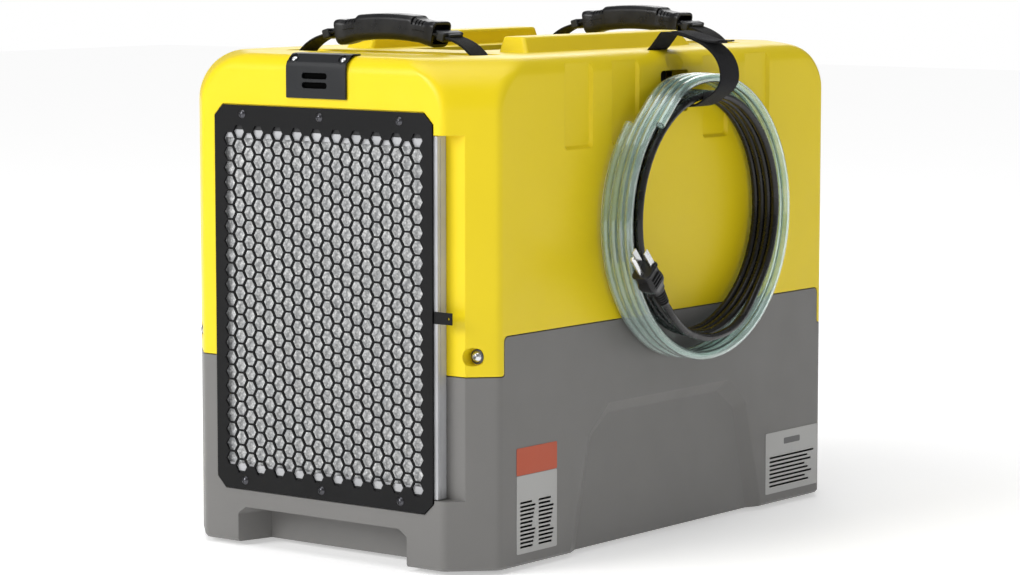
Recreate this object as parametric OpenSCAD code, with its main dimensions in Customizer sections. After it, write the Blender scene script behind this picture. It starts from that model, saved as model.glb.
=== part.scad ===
// Portable refrigerant dehumidifier with a two-part moulded cabinet.
// Units are millimetres. +Z is up, the air intake faces -Y and the cord coil hangs on the +X side.
// The origin is on the floor below the middle of the cabinet.

/* [Cabinet] */
// Overall width of the cabinet
body_w = 354; // [352:1:358]
// Overall depth of the cabinet, intake face to outlet face
body_d = 590; // [586:1:596]
// Height of the top deck above the floor
deck_z = 452; // [450:1:456]
// Height of the feet below the moulded base
foot_h = 3.5; // [2:0.5:4]
// Wall thickness of both mouldings
wall = 4; // [3.5:0.5:4]
// Width of the four 45 degree corner chamfers, along X and along Y
corner = 36; // [34:1:38]
// Radius of the rounded top edges
top_r = 16; // [14:1:18]
// Radius of the rounded top at the four chamfered corners
corner_top_r = 42; // [36:1:46]
// Height of the parting line at the front and rear corner tabs
tab_z = 175; // [173:1:177]
// Height of the parting line along the sides
side_z = 210; // [208:1:212]

/* [Intake] */
// Width of the grille plate
grille_w = 254.6; // [250:0.2:256]
// Height of the grille plate
grille_h = 352; // [350:1:354]
// Height of the lower edge of the grille plate
grille_z = 53.2; // [52:0.2:54]
// Offset of the grille plate to the +X side
grille_x = 3.4; // [2.6:0.2:4.2]
// Vertical pitch of the hexagonal holes
hex_pitch = 13.35; // [13.2:0.05:13.4]
// Width of the web between two hexagonal holes
hex_web = 1.7; // [1.4:0.1:2.4]
// Thickness of the filter cassette
filter_t = 12.2; // [11:0.2:12.4]

/* [Handles] */
// Distance of each handle from the middle of the cabinet
handle_y = 192; // [188:1:196]
// Half the distance between the two feet of a handle strap
strap_foot = 104; // [100:1:106]
// Width of the handle webbing
strap_w = 25; // [22:1:26]
// How far a handle lifts before its stops meet the deck
handle_lift = 8; // [6:1:10]

/* [Cord and hose] */
// Diameter of the power cord
cord_d = 7.4; // [7:0.1:7.8]
// Diameter of the drain hose
hose_d = 8.5; // [8:0.1:9]
// Turns of cord and of hose that lie side by side
coil_turns = 4; // [3:1:4]

/* [Fan] */
// Outer radius of the fan blades
fan_r = 112; // [106:1:114]
// Number of fan blades
blades = 7; // [5:1:9]
// Height of the fan axis above the floor
fan_z = 300; // [296:1:304]

/* [Hidden] */

$fn = 32;
eps = 0.01;
half_w = body_w / 2;
half_d = body_d / 2;
arc_steps = 6;

// Outline helpers. fillet() rounds every corner of a closed outline with radius r.
function arc(c, r, a0, a1, n) = [for (i = [0:n]) c + r * [cos(a0 + (a1 - a0) * i / n),
    sin(a0 + (a1 - a0) * i / n)]];
function corner_arc(p, a, b, r, n) =
    let (u = (a - p) / norm(a - p), v = (b - p) / norm(b - p))
    let (half = acos(u * v) / 2, t = r / tan(half))
    let (c = p + (u + v) / norm(u + v) * (r / sin(half)))
    let (s = p + u * t - c, e = p + v * t - c)
    let (a0 = atan2(s.y, s.x), turn = (atan2(e.y, e.x) - a0 + 540) % 360 - 180)
    [for (k = [0:n]) c + r * [cos(a0 + turn * k / n), sin(a0 + turn * k / n)]];
function fillet(pts, r, n) = [for (i = [0:len(pts) - 1]) each corner_arc(pts[i],
    pts[(i + len(pts) - 1) % len(pts)], pts[(i + 1) % len(pts)], is_list(r) ? r[i] : r, n)];
function chamfered(hw, hd, c) = [[hw - c, -hd], [hw, -hd + c], [hw, hd - c], [hw - c, hd],
    [-hw + c, hd], [-hw, hd - c], [-hw, -hd + c], [-hw + c, -hd]];
function round_top(half, top, r) = concat([[-half, -30], [half, -30]],
    arc([half - r, top - r], r, 0, 90, arc_steps), arc([r - half, top - r], r, 90, 180, arc_steps));
// Points moved sideways by d from a closed line of closely spaced points.
function beside(pts, d) = [for (i = [0:len(pts) - 1])
    let (t = pts[(i + 1) % len(pts)] - pts[(i + len(pts) - 1) % len(pts)])
    pts[i] + d * [-t.y, t.x] / norm(t)];

// The cabinet's outer form, moved in by an inset.
module along_y(length) rotate([90, 0, 0]) linear_extrude(length, center = true) children();
module along_x(length) rotate([90, 0, 90]) linear_extrude(length, center = true) children();
module envelope(inset) {
    hw = half_w - inset;
    hd = half_d - inset;
    top = deck_z - inset;
    diagonal = (half_w + half_d - corner) / sqrt(2) - inset;
    intersection() {
        translate([0, 0, foot_h + (inset > 0 ? -20 : 0)])
            linear_extrude(deck_z + 20) polygon(fillet(chamfered(hw, hd, corner - inset * 0.6), 12, 3));
        along_y(body_d + 20) polygon(round_top(hw, top, top_r - inset));
        along_x(body_w + 20) polygon(round_top(hd, top, top_r - inset));
        rotate([0, 0, 45]) along_y(900) polygon(round_top(diagonal, top, corner_top_r - inset));
        rotate([0, 0, -45]) along_y(900) polygon(round_top(diagonal, top, corner_top_r - inset));
    }
}
module block(lo, hi) translate(lo) cube(hi - lo);
module four_corners(x, y) for (sx = [-1, 1], sy = [-1, 1]) translate([sx * x, sy * y, 0]) children();
module bar_y(r, y0, y1) translate([0, y0, 0]) rotate([-90, 0, 0]) cylinder(r = r, h = y1 - y0);
module bar_x(r, x0, x1) translate([x0, 0, 0]) rotate([0, 90, 0]) cylinder(r = r, h = x1 - x0);

// Parting line: the upper moulding drops to tab_z at the corners and stops at side_z on the sides.
tab_reach = 6.6;
side_run = half_d - corner - tab_reach + 1;
module below_parting() {
    block([-300, -400, -40], [300, 400, tab_z]);
    block([-300, 5 - side_run, -40], [300, side_run - 5, side_z]);
    block([-300, -side_run, -40], [300, side_run, side_z - 4]);
}

// Intake pocket. The cassette slides in from the notch in the front right corner.
front_y = -half_d;
plate_y = front_y + 1;
plate_t = 2;
pocket_back = front_y + 14;
pocket_lo = grille_z + 13.3;
pocket_hi = grille_z + grille_h - 19.7;
cassette_x0 = -118;
cassette_x1 = 134.7;
cassette_y0 = pocket_back - 0.4 - filter_t;
air_x0 = cassette_x0 + 10;
air_x1 = cassette_x1 - 10;
air_z0 = pocket_lo + 10.5;
air_z1 = pocket_hi - 10.5;
screw_dx = 92;
screw_rows = [grille_z + 8.3, grille_z + grille_h - 8];
module grille_screw_places() for (i = [-1:1], z = screw_rows)
    translate([grille_x - 1.8 + i * screw_dx, 0, z]) children();
module intake_frame() block([-132, front_y + 1, 45], [158, front_y + 20, 411]);
module intake_cut() {
    translate([0, plate_y, 0]) along_plate(grille_w + 1.6, grille_h + 1.6, 10.5, 30);
    block([cassette_x0 - 0.6, front_y - 5, pocket_lo - 0.5], [200, pocket_back, pocket_hi + 0.5]);
    block([air_x0, front_y, air_z0], [air_x1, front_y + 30, air_z1]);
    grille_screw_places() bar_y(1.9, front_y - 1, front_y + 16);
}
// A plate outline with chamfered corners, standing in XZ from y = 0 towards -Y.
module along_plate(w, h, c, t) translate([grille_x, 0, grille_z + grille_h / 2]) rotate([90, 0, 0])
    linear_extrude(t) polygon(chamfered(w / 2, h / 2, c));

// Side grooves, strap opening and deck features.
groove_w = 39;
groove_depth = 2.2;
groove_z = 370;
groove_at = [-144.5, -73, 72, 143];
strap_y0 = -12;
strap_y1 = 18;
strap_x = 157;
well_x = 40;
well_y = 117;
well_depth = 8;
panel_top = deck_z - well_depth + 2.5;
pocket_x = strap_foot + 10;
pocket_y = 22;
pocket_depth = 4;
rib_x0 = 75;
rib_x1 = 108;
rib_h = 14;
rib_y = 131;
module deck_rib(inset) intersection() {
    along_y(2 * rib_y - 2 * inset) polygon([[rib_x0 + inset, deck_z - 5 - inset],
        [rib_x1 - inset, deck_z - 5 - inset], [rib_x1 - inset, deck_z],
        [rib_x1 - 9 - inset, deck_z + rib_h - inset], [rib_x0 + inset, deck_z + rib_h - inset]]);
    along_x(400) polygon([[-rib_y + inset, deck_z - 9], [rib_y - inset, deck_z - 9],
        [rib_y - inset, deck_z], [rib_y - 6 - inset, deck_z + rib_h],
        [-rib_y + 6 + inset, deck_z + rib_h], [-rib_y + inset, deck_z]]);
}
module handle_pocket(y) {
    block([-pocket_x, y - pocket_y, deck_z - pocket_depth], [pocket_x, y + pocket_y, deck_z + 5]);
    for (sx = [-1, 1]) translate([sx * strap_foot, y, deck_z - 20])
        cube([4, strap_w + 2, 60], center = true);
}
module side_grooves() for (sx = [-1, 1], y = groove_at)
    block([sx > 0 ? half_w - groove_depth : -half_w - 5, y - groove_w / 2, groove_z],
        [sx > 0 ? half_w + 5 : -half_w + groove_depth, y + groove_w / 2, deck_z - 8]);

// Rear outlet.
outlet_w = 262;
outlet_r = 116;
outlet_screw = 121;
module outlet_screw_places() for (sx = [-1, 1], sz = [-1, 1])
    translate([sx * outlet_screw, 0, fan_z + sz * outlet_screw]) children();

// Corner bolts go in along Y through the upper moulding's tabs.
bolt_x = 160;
bolt_z = 193;
bolt_seat = half_d - 28;
module bolt_places() for (sx = [-1, 1], sy = [-1, 1])
    translate([sx * bolt_x, 0, bolt_z]) mirror([0, sy < 0 ? 0 : 1, 0]) children();

// Sensor window behind the small cover on the top front edge.
cover_x0 = -36;
cover_x1 = 34;
cover_z0 = 413.8;
module slot_y(x0, x1, z, h, y0, y1) hull() {
    translate([x0 + h / 2, 0, z]) bar_y(h / 2, y0, y1);
    translate([x1 - h / 2, 0, z]) bar_y(h / 2, y0, y1);
}

module upper_housing() color("gold") difference() {
    union() {
        difference() {
            envelope(0);
            envelope(wall);
        }
        intersection() {
            envelope(0.5);
            union() {
                intake_frame();
                for (sy = [-1, 1]) block([-pocket_x - 4, sy * handle_y - pocket_y - 4, deck_z - 8],
                    [pocket_x + 4, sy * handle_y + pocket_y + 4, deck_z - 1]);
                block([-well_x - 4, -well_y - 4, deck_z - well_depth - 4],
                    [well_x + 4, well_y + 4, deck_z - 1]);
                bolt_places() bar_y(12, -half_d + 2, -bolt_seat + 3.5);
            }
        }
        for (sx = [0, 1]) mirror([sx, 0, 0]) deck_rib(0);
        for (sx = [-1, 1], sy = [-1, 1]) translate([sx * 32, sy * 72, deck_z - 22])
            cylinder(r = 4, h = 12);
    }
    below_parting();
    intake_cut();
    side_grooves();
    for (sx = [0, 1]) mirror([sx, 0, 0]) deck_rib(3);
    for (sy = [-1, 1]) handle_pocket(sy * handle_y);
    block([-well_x, -well_y, deck_z - well_depth], [well_x, well_y, deck_z + 5]);
    block([-15, 80, deck_z - 30], [15, 108, deck_z]);
    block([strap_x - 4, strap_y0 - 2.5, deck_z - 20], [strap_x + 4, strap_y1 + 2.5, deck_z + 5]);
    block([half_w - 20, strap_y0 - 6, 395], [half_w + 5, strap_y1 + 8, 433.5]);
    block([-18, front_y - 2, 421], [16, front_y + 10, 438]);
    translate([0, 0, fan_z]) bar_y(outlet_r, half_d - 20, half_d + 5);
    outlet_screw_places() bar_y(1.9, half_d - 12, half_d + 2);
    bolt_places() {
        bar_y(8.2, -half_d - 5, -bolt_seat);
        bar_y(3.3, -bolt_seat - 1, -bolt_seat + 5);
    }
    cover_screw_places() translate([0, 0, -6]) cylinder(r = 1.4, h = 12);
}

arch_half = 100;
arch_top = 36.5;
arch_depth = 35;
side_recess = 8;
module arch_form(grow) intersection() {
    translate([0, 0, -20]) linear_extrude(20 + arch_top + grow) polygon([
        [-arch_half - grow, -half_d - 5], [arch_half + grow, -half_d - 5],
        [arch_half - 10 + grow, -half_d + arch_depth + grow],
        [10 - arch_half - grow, -half_d + arch_depth + grow]]);
    along_y(700) polygon([[-arch_half - grow, -30], [arch_half + grow, -30],
        [arch_half + grow, arch_top - 8], [arch_half - 8 + grow, arch_top + grow],
        [8 - arch_half - grow, arch_top + grow], [-arch_half - grow, arch_top - 8]]);
}
function recess_outline(b, m, mz, t, tz) = [[-b, -5], [b, -5], [m, mz], [t, tz], [-t, tz], [-m, mz]];
module side_recess_form(grow) hull() {
    translate([half_w - 0.5, 0, 0]) along_x(1 + eps)
        polygon(recess_outline(160 + grow, 129 + grow, 109, 98 + grow, 134.5 + grow));
    translate([half_w - side_recess - grow + 0.5, 0, 0]) along_x(1)
        polygon(recess_outline(141 + grow, 115 + grow, 104, 88 + grow, 123 + grow));
}
floor_t = 6;
module base_housing() color("dimgray") difference() {
    union() {
        difference() {
            envelope(0);
            envelope(wall);
        }
        intersection() {
            envelope(0);
            union() {
                block([-half_w, -half_d, foot_h], [half_w, half_d, foot_h + floor_t]);
                for (sy = [0, 1]) mirror([0, sy, 0]) arch_form(4);
                for (sx = [0, 1]) mirror([sx, 0, 0]) side_recess_form(3.5);
            }
        }
        intersection() {
            envelope(0.5);
            union() {
                intake_frame();
                corner_lugs(159, tab_z);
                pan_posts();
            }
        }
        intersection() {
            envelope(wall + 0.3);
            corner_lugs(159, 211);
        }
    }
    difference() {
        block([-300, -400, tab_z - eps], [300, 400, 600]);
        intersection() {
            below_parting();
            envelope(-1);
        }
        intersection() {
            envelope(wall + 0.3);
            corner_lugs(tab_z - 1, 212);
        }
    }
    intake_cut();
    for (sy = [0, 1]) mirror([0, sy, 0]) arch_form(0);
    for (sx = [0, 1]) mirror([sx, 0, 0]) side_recess_form(0);
    bolt_places() bar_y(3, -bolt_seat + 3, -bolt_seat + 16);
    four_corners(150, 242) cylinder(r = 4, h = 20, center = true);
    compressor_feet() cylinder(r = 3, h = 40, center = true);
    translate([outlet_at.x, 0, outlet_at.y]) bar_y(8, half_d - 10, half_d + 1);
}
// The corner lugs stand up behind the tabs of the upper moulding and take the corner bolts.
module corner_lugs(z0, z1) four_corners(half_w - 20, bolt_seat - 13)
    translate([-16, -9, z0]) cube([32, 18, z1 - z0]);
module pan_posts() for (x = [-105, 105], y = [-262, -166]) block([x - 8, y - 6, foot_h],
    [x + 8, y + 6, pan_z]);

module housing_bolts() color("silver") bolt_places() {
    bar_y(6, -bolt_seat - 1.2, -bolt_seat);
    intersection() {
        bar_y(5, -bolt_seat - 5, -bolt_seat - 1.2 + eps);
        translate([0, -bolt_seat + 1, 0]) sphere(r = 6);
    }
    bar_y(3, -bolt_seat - 1.2, -bolt_seat + 15);
}

module rubber_feet() color("black") four_corners(150, 242) {
    cylinder(r1 = 12, r2 = 14, h = foot_h);
    cylinder(r = 3.9, h = foot_h + floor_t + 1);
    translate([0, 0, foot_h + floor_t]) cylinder(r1 = 5.2, r2 = 3.6, h = 2.5);
}

hex_rows = 24;
hex_cols = 20;
hex_dx = hex_pitch * cos(30);
hex_top = grille_z + grille_h - 24.2;
hole_r = (hex_pitch - hex_web) / 2 / cos(30);
module hex_grid() for (i = [0:hex_cols - 1], j = [0:hex_rows - 1 - (i + 1) % 2])
    translate([(i - (hex_cols - 1) / 2) * hex_dx, hex_top - (j + ((i + 1) % 2) / 2) * hex_pitch])
        circle(r = hole_r, $fn = 6);
module intake_grille() color([0.16, 0.16, 0.16]) translate([0, plate_y, 0]) difference() {
    along_plate(grille_w, grille_h, 9.9, plate_t);
    translate([grille_x, 1, 0]) rotate([90, 0, 0]) linear_extrude(4) hex_grid();
    grille_screw_places() bar_y(2.2, -5, 5);
}

module grille_screws() color([0.1, 0.1, 0.1]) grille_screw_places() {
    intersection() {
        bar_y(4, plate_y - plate_t - 2.4, plate_y - plate_t);
        translate([0, plate_y - plate_t + 2, 0]) sphere(r = 4.6);
    }
    bar_y(1.8, plate_y - plate_t - 0.5, front_y + 14);
}

module filter_frame() color([0.78, 0.79, 0.8]) difference() {
    block([cassette_x0, cassette_y0, pocket_lo], [cassette_x1, cassette_y0 + filter_t, pocket_hi]);
    block([air_x0, cassette_y0 - 1, air_z0], [air_x1, cassette_y0 + filter_t + 1, air_z1]);
    block([air_x0 - 7, cassette_y0 + 1.2, air_z0 - 7],
        [air_x1 + 7, cassette_y0 + filter_t - 1.2, air_z1 + 7]);
}

pleats = 18;
module filter_media() color([0.85, 0.86, 0.86]) {
    step = (air_x1 - air_x0 + 12) / pleats;
    y0 = cassette_y0 + 1.6;
    y1 = cassette_y0 + filter_t - 1.6;
    top = [for (i = [0:2 * pleats]) [air_x0 - 6 + i * step / 2, i % 2 == 0 ? y0 + 2.4 : y1]];
    low = [for (i = [2 * pleats:-1:0]) [air_x0 - 6 + i * step / 2, i % 2 == 0 ? y0 : y1 - 2.4]];
    translate([0, 0, air_z0 - 6.5]) linear_extrude(air_z1 - air_z0 + 13) polygon(concat(low, top));
}

module filter_pull_tab() color("black") difference() {
    block([grille_x + grille_w / 2 + 0.4, cassette_y0 - 1.2, 222], [151.5, cassette_y0, 232.6]);
    translate([146.5, cassette_y0 - 3, 227.3]) bar_y(2, 0, 5);
}

cover_fold = [[-295.1, cover_z0], [-297.6, cover_z0], [-297.6, 445], [-289, 453.7], [-276, 453.7],
    [-276, 452.15], [-288.2, 452.15], [-295.1, 445.2]];
module cover_screw_places() for (x = [cover_x0 + 8, cover_x1 - 8])
    translate([x, -293.4, 449.4]) rotate([45, 0, 0]) children();
module sensor_cover() color([0.17, 0.17, 0.18]) difference() {
    translate([(cover_x0 + cover_x1) / 2, 0, 0]) along_x(cover_x1 - cover_x0) polygon(cover_fold);
    for (z = [433.9, 425.5]) slot_y(-17, 12.4, z, 5.6, -305, -290);
    cover_screw_places() {
        cylinder(r = 4.4, h = 6);
        translate([0, 0, -8]) cylinder(r = 1.7, h = 12);
    }
}

module sensor_cover_screws() color("silver") cover_screw_places() difference() {
    union() {
        cylinder(r = 3.4, h = 1.7);
        translate([0, 0, -5]) cylinder(r = 1.35, h = 6);
    }
    for (a = [0, 90]) rotate([0, 0, a]) translate([-2.2, -0.4, 0.8]) cube([4.4, 0.8, 2]);
}

module sensor_board() color("green") {
    block([-16, front_y + 6.4, 422], [14, front_y + 8, 437]);
    block([-6, front_y + 3, 426], [4, front_y + 6.4, 433]);
    block([-26, front_y + 8, 424], [24, front_y + 11, 435]);
    for (x = [-26, 18]) block([x, front_y + wall, 424], [x + 6, front_y + 8, 435]);
}

// Strap handle: an arched grip on a webbing strap whose legs drop through slots in the deck.
grip_half = 58;
grip_rise = 5.7;
grip_r = (grip_half * grip_half + grip_rise * grip_rise) / (2 * grip_rise);
grip_mid_z = 475.5;
grip_angle = asin(grip_half / grip_r);
module arched(angle) translate([0, 0, grip_mid_z - grip_r]) rotate([90, 0, 0])
    rotate([0, 0, 90 - angle]) rotate_extrude(angle = 2 * angle, $fn = 180) translate([grip_r, 0])
        children();
module rounded_section(w, h, r) polygon(fillet([[-h / 2, -w / 2], [h / 2, -w / 2], [h / 2, w / 2],
    [-h / 2, w / 2]], r, 4));
module handle_grip() color([0.2, 0.2, 0.2]) difference() {
    union() {
        arched(grip_angle) rounded_section(27, 21, 8);
        arched(grip_angle * 0.52) translate([3, 0]) rounded_section(25, 19, 7);
    }
    arched(grip_angle + 2) square([3.2, strap_w + 0.8], center = true);
    for (side = [-1, 1], k = [0:3]) translate([side * (32 + 5 * k), 0, 483.5 - 0.5 * k])
        rotate([0, side * 12, 0]) cube([2, 20, 4], center = true);
}
// Half of the strap's centre line, from the middle of the grip to the foot and down the slot.
leg_line = concat([for (i = [0:5]) [grip_r * sin(grip_angle * i / 5),
    grip_mid_z - grip_r + grip_r * cos(grip_angle * i / 5)]],
    [[66, 468.1], [76, 465.4], [84, 462.6], [92, 458.4], [99, 453], [103, 448.5], [104, 445], [104, 431]]);
function thick_line(line, t) =
    let (n = len(line) - 1)
    let (side = [for (i = [0:n]) let (d = line[min(i + 1, n)] - line[max(i - 1, 0)])
        [-d.y, d.x] / norm(d) * t / 2])
    concat([for (i = [0:n]) line[i] + side[i]], [for (i = [n:-1:0]) line[i] - side[i]]);
module handle_strap() color([0.12, 0.12, 0.12]) for (sx = [0, 1]) mirror([sx, 0, 0])
    along_y(strap_w) polygon(thick_line(leg_line, 2));
module handle_collars() color([0.14, 0.14, 0.14]) for (sx = [0, 1]) mirror([sx, 0, 0])
    translate([67.5, 0, 467.7]) rotate([0, 15, 0]) difference() {
        cube([9, strap_w + 5, 8], center = true);
        cube([12, strap_w + 1, 3.4], center = true);
    }
stop_top = deck_z - 8 - handle_lift - 0.2;
module handle_stops() color("silver") for (sx = [-1, 1]) translate([sx * strap_foot, 0, 0])
    difference() {
        block([-6, -strap_w / 2 - 4, stop_top - 4], [6, strap_w / 2 + 4, stop_top]);
        block([-1, -strap_w / 2, stop_top - 5], [1, strap_w / 2, stop_top + 1]);
    }

// Hook-and-loop strap that carries the coiled cord and hose.
strap_loop = fillet([[strap_x, 401.2], [strap_x, 449], [172.5, 468.4], [190, 467.4], [214, 461.2],
    [237, 445], [239.2, 420], [227, 409], [212, 401.2]], [9, 12, 3, 8, 14, 12, 11, 6, 8], 4);
module coil_strap() color([0.13, 0.13, 0.15]) translate([0, (strap_y0 + strap_y1) / 2, 0]) {
    along_y(strap_y1 - strap_y0) difference() {
        polygon(beside(strap_loop, 1));
        polygon(beside(strap_loop, -1));
    }
    along_y(strap_y1 - strap_y0 - 1) polygon([[184, 469.1], [190, 468.8], [214, 462.7],
        [234, 460.6], [234.3, 462.1], [214.5, 464.4], [190.5, 470.4], [184, 470.7]]);
}

// Control panel in the well between the two ribs.
panel_z = deck_z - well_depth;
button_names_y = [-84, -60, -36, -12];
button_r = 5;
module control_panel() color([0.15, 0.15, 0.16]) difference() {
    block([-well_x + 0.5, -well_y + 0.5, panel_z], [well_x - 0.5, well_y - 0.5, panel_top]);
    for (y = button_names_y) translate([0, y, panel_z - 1]) cylinder(r = button_r + 0.4, h = 8);
    block([-26, 20, panel_z + 1], [26, 74, panel_top + 1]);
}
module display_window() color([0.1, 0.12, 0.16])
    block([-25.8, 20.2, panel_z + 1], [25.8, 73.8, panel_top]);
module button(y) translate([0, y, 0]) intersection() {
    translate([0, 0, panel_z + 1.4]) cylinder(r = button_r, h = 4);
    translate([0, 0, panel_top - 17.4]) sphere(r = 19, $fn = 48);
}
module power_button() color("firebrick") button(button_names_y[0]);
module mode_button() color("lightgray") button(button_names_y[1]);
module up_button() color("lightgray") button(button_names_y[2]);
module down_button() color("lightgray") button(button_names_y[3]);
module control_board() color("darkgreen") {
    block([-37, -90, deck_z - 23.6], [37, 90, deck_z - 22]);
    for (x = [-20, 8]) block([x, -60, deck_z - 31], [x + 14, -34, deck_z - 23.6]);
    translate([10, 40, deck_z - 41]) cylinder(r = 9, h = 17.4);
    block([-28, 20, deck_z - 38], [-6, 56, deck_z - 23.6]);
}

// Outlet grille, fan and motor.
out_pitch = 17;
module outlet_grille() color([0.16, 0.16, 0.16]) translate([0, half_d + 2, fan_z]) difference() {
    rotate([90, 0, 0]) linear_extrude(2) difference() {
        polygon(chamfered(outlet_w / 2, outlet_w / 2, 16));
        for (i = [-8:8], j = [-8:8]) {
            p = [i * out_pitch * cos(30), (j + (abs(i) % 2) / 2) * out_pitch];
            if (norm(p) < outlet_r - 9) translate(p) circle(r = 8.3, $fn = 6);
        }
    }
    for (sx = [-1, 1], sz = [-1, 1]) translate([sx * outlet_screw, 0, sz * outlet_screw])
        bar_y(2.2, -5, 5);
}
module outlet_screws() color([0.1, 0.1, 0.1]) outlet_screw_places() {
    intersection() {
        bar_y(4, half_d + 2, half_d + 4.2);
        translate([0, half_d, 0]) sphere(r = 4.6);
    }
    bar_y(1.8, half_d - 11, half_d + 2.5);
}

bulk_y = 186;
module fan_bulkhead() color("lightgray") difference() {
    union() {
        block([-half_w + wall + 0.5, bulk_y, 214], [half_w - wall - 0.5, bulk_y + 3, deck_z - 24]);
        translate([0, 0, fan_z]) bar_y(fan_r + 7, bulk_y - 22, bulk_y + 12);
        block([-half_w + wall + 0.5, bulk_y, foot_h + floor_t], [-half_w + 32, bulk_y + 3, 215]);
        block([half_w - 32, bulk_y, foot_h + floor_t], [half_w - wall - 0.5, bulk_y + 3, 215]);
        block([-half_w + 32, bulk_y, 60], [half_w - 32, bulk_y + 3, 215]);
    }
    translate([0, 0, fan_z]) bar_y(fan_r + 4, bulk_y - 30, bulk_y + 20);
    for (sx = [0, 1]) mirror([sx, 0, 0]) translate([half_w - 30, bulk_y - 1, 20])
        cube([40, 5, 120]);
}
hub_r = 34;
module fan_impeller() color([0.25, 0.27, 0.3]) translate([0, bulk_y - 4, fan_z]) difference() {
    union() {
        bar_y(hub_r, -13, 13);
        for (k = [0:blades - 1]) rotate([0, k * 360 / blades, 0]) intersection() {
            difference() {
                bar_y(fan_r, -14, 14);
                bar_y(hub_r - 3, -15, 15);
            }
            translate([0, 0, 70]) rotate([0, 0, 28]) cube([62, 2.4, 100], center = true);
        }
    }
    bar_y(5, -20, 20);
    bar_y(hub_r - 4, -15, 6);
}
module fan_shaft() color("silver") translate([0, 0, fan_z]) bar_y(5, bulk_y - 12, bulk_y + 42);
motor_y = bulk_y + 24;
module fan_motor() color([0.3, 0.31, 0.33]) translate([0, motor_y, fan_z]) difference() {
    union() {
        bar_y(44, 0, 52);
        bar_y(14, -5, 58);
    }
    bar_y(5.06, -8, 24);
}
module motor_bracket() color("silver") difference() {
    union() {
        translate([0, 0, fan_z]) bar_y(48, motor_y + 8, motor_y + 14);
        for (a = [45, 135]) translate([0, motor_y + 11, fan_z]) rotate([0, a, 0])
            cube([2 * (fan_r + 16), 5, 16], center = true);
        for (k = [0:3]) translate([0, 0, fan_z]) rotate([0, 45 + 90 * k, 0])
            block([fan_r + 8.5, bulk_y + 3, -8], [fan_r + 16, motor_y + 13.5, 8]);
    }
    translate([0, 0, fan_z]) bar_y(44, motor_y, motor_y + 30);
}

// Heat exchangers: fin packs on straight tubes with return bends.
pack_z0 = 66;
pack_z1 = 378;
tube_rows = 8;
tube_r = 4.8;
evap_y = -241;
cond_y = -186;
tube_step = (pack_z1 - pack_z0) / tube_rows;
module tube_places(y) for (dy = [-10, 10], k = [0:tube_rows - 1])
    translate([0, y + dy, pack_z0 + (k + 0.5) * tube_step]) children();
module fin_pack(y) difference() {
    block([-104, y - 20, pack_z0], [104, y + 20, pack_z1]);
    tube_places(y) bar_x(tube_r, -120, 120);
}
module tube_bank(y) {
    tube_places(y) bar_x(tube_r, -110, 110);
    for (dy = [-10, 10], k = [0:tube_rows - 2]) {
        sx = k % 2 == 0 ? 1 : -1;
        translate([sx * 110, y + dy, pack_z0 + (k + 1) * tube_step]) rotate([90, 0, 0])
            rotate([0, 0, sx > 0 ? -90 : 90]) rotate_extrude(angle = 180, $fn = 48)
                translate([tube_step / 2, 0]) circle(r = tube_r, $fn = 24);
    }
}
module evaporator_fins() color("silver") fin_pack(evap_y);
module evaporator_tubes() color([0.72, 0.45, 0.3]) tube_bank(evap_y);
module condenser_fins() color("silver") fin_pack(cond_y);
module condenser_tubes() color([0.72, 0.45, 0.3]) tube_bank(cond_y);
module coil_end_plates() color("gainsboro") for (y = [evap_y, cond_y], x = [-106.5, 105])
    difference() {
        block([x, y - 24, pan_z + 3], [x + 1.5, y + 24, pack_z1 + 4]);
        tube_places(y) bar_x(tube_r + 0.2, -120, 120);
    }
pan_z = 50;
module drain_pan() color([0.3, 0.3, 0.32]) difference() {
    block([-122, -272, pan_z], [122, -156, pan_z + 14]);
    difference() {
        block([-120, -270, pan_z + 3], [120, -158, pan_z + 15]);
        translate([92, -170, 0]) cylinder(r = 7, h = 100);
    }
    translate([92, -170, pan_z - 1]) cylinder(r = 4, h = 20);
}

// Sealed refrigerant circuit.
comp = [-84, 30];
comp_r = 58;
module compressor_feet() for (a = [90, 210, 330]) translate([comp.x, comp.y, 0])
    rotate([0, 0, a]) translate([comp_r + 12, 0, 0]) children();
base_top = foot_h + floor_t;
module compressor() color([0.14, 0.14, 0.15]) difference() {
    union() {
        translate([comp.x, comp.y, base_top + 14]) cylinder(r = comp_r, h = 168, $fn = 48);
        translate([comp.x, comp.y, base_top + 182]) intersection() {
            translate([0, 0, -64]) sphere(r = 86.3, $fn = 64);
            cylinder(r = comp_r, h = 30, $fn = 48);
        }
        for (a = [90, 210, 330]) translate([comp.x, comp.y, base_top + 12]) rotate([0, 0, a])
            translate([0, -14, 0]) cube([comp_r + 24, 28, 3]);
        translate([comp.x + 40, comp.y, base_top + 176]) cylinder(r = 8, h = 14);
    }
    compressor_feet() translate([0, 0, base_top]) cylinder(r = 7, h = 30);
}
module compressor_grommets() color("black") compressor_feet() difference() {
    union() {
        translate([0, 0, base_top]) cylinder(r = 11, h = 12);
        translate([0, 0, base_top + 12]) cylinder(r = 6.8, h = 4.5);
    }
    translate([0, 0, base_top - 1]) cylinder(r = 3.5, h = 30);
}
module compressor_bolts() color("silver") compressor_feet() {
    translate([0, 0, foot_h + 0.5]) cylinder(r = 3, h = base_top + 16);
    translate([0, 0, base_top + 16.6]) cylinder(r = 8.5, h = 1.6);
    translate([0, 0, base_top + 18.2]) cylinder(r = 5.6, h = 4.4, $fn = 6);
}
acc = [14, 62];
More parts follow.
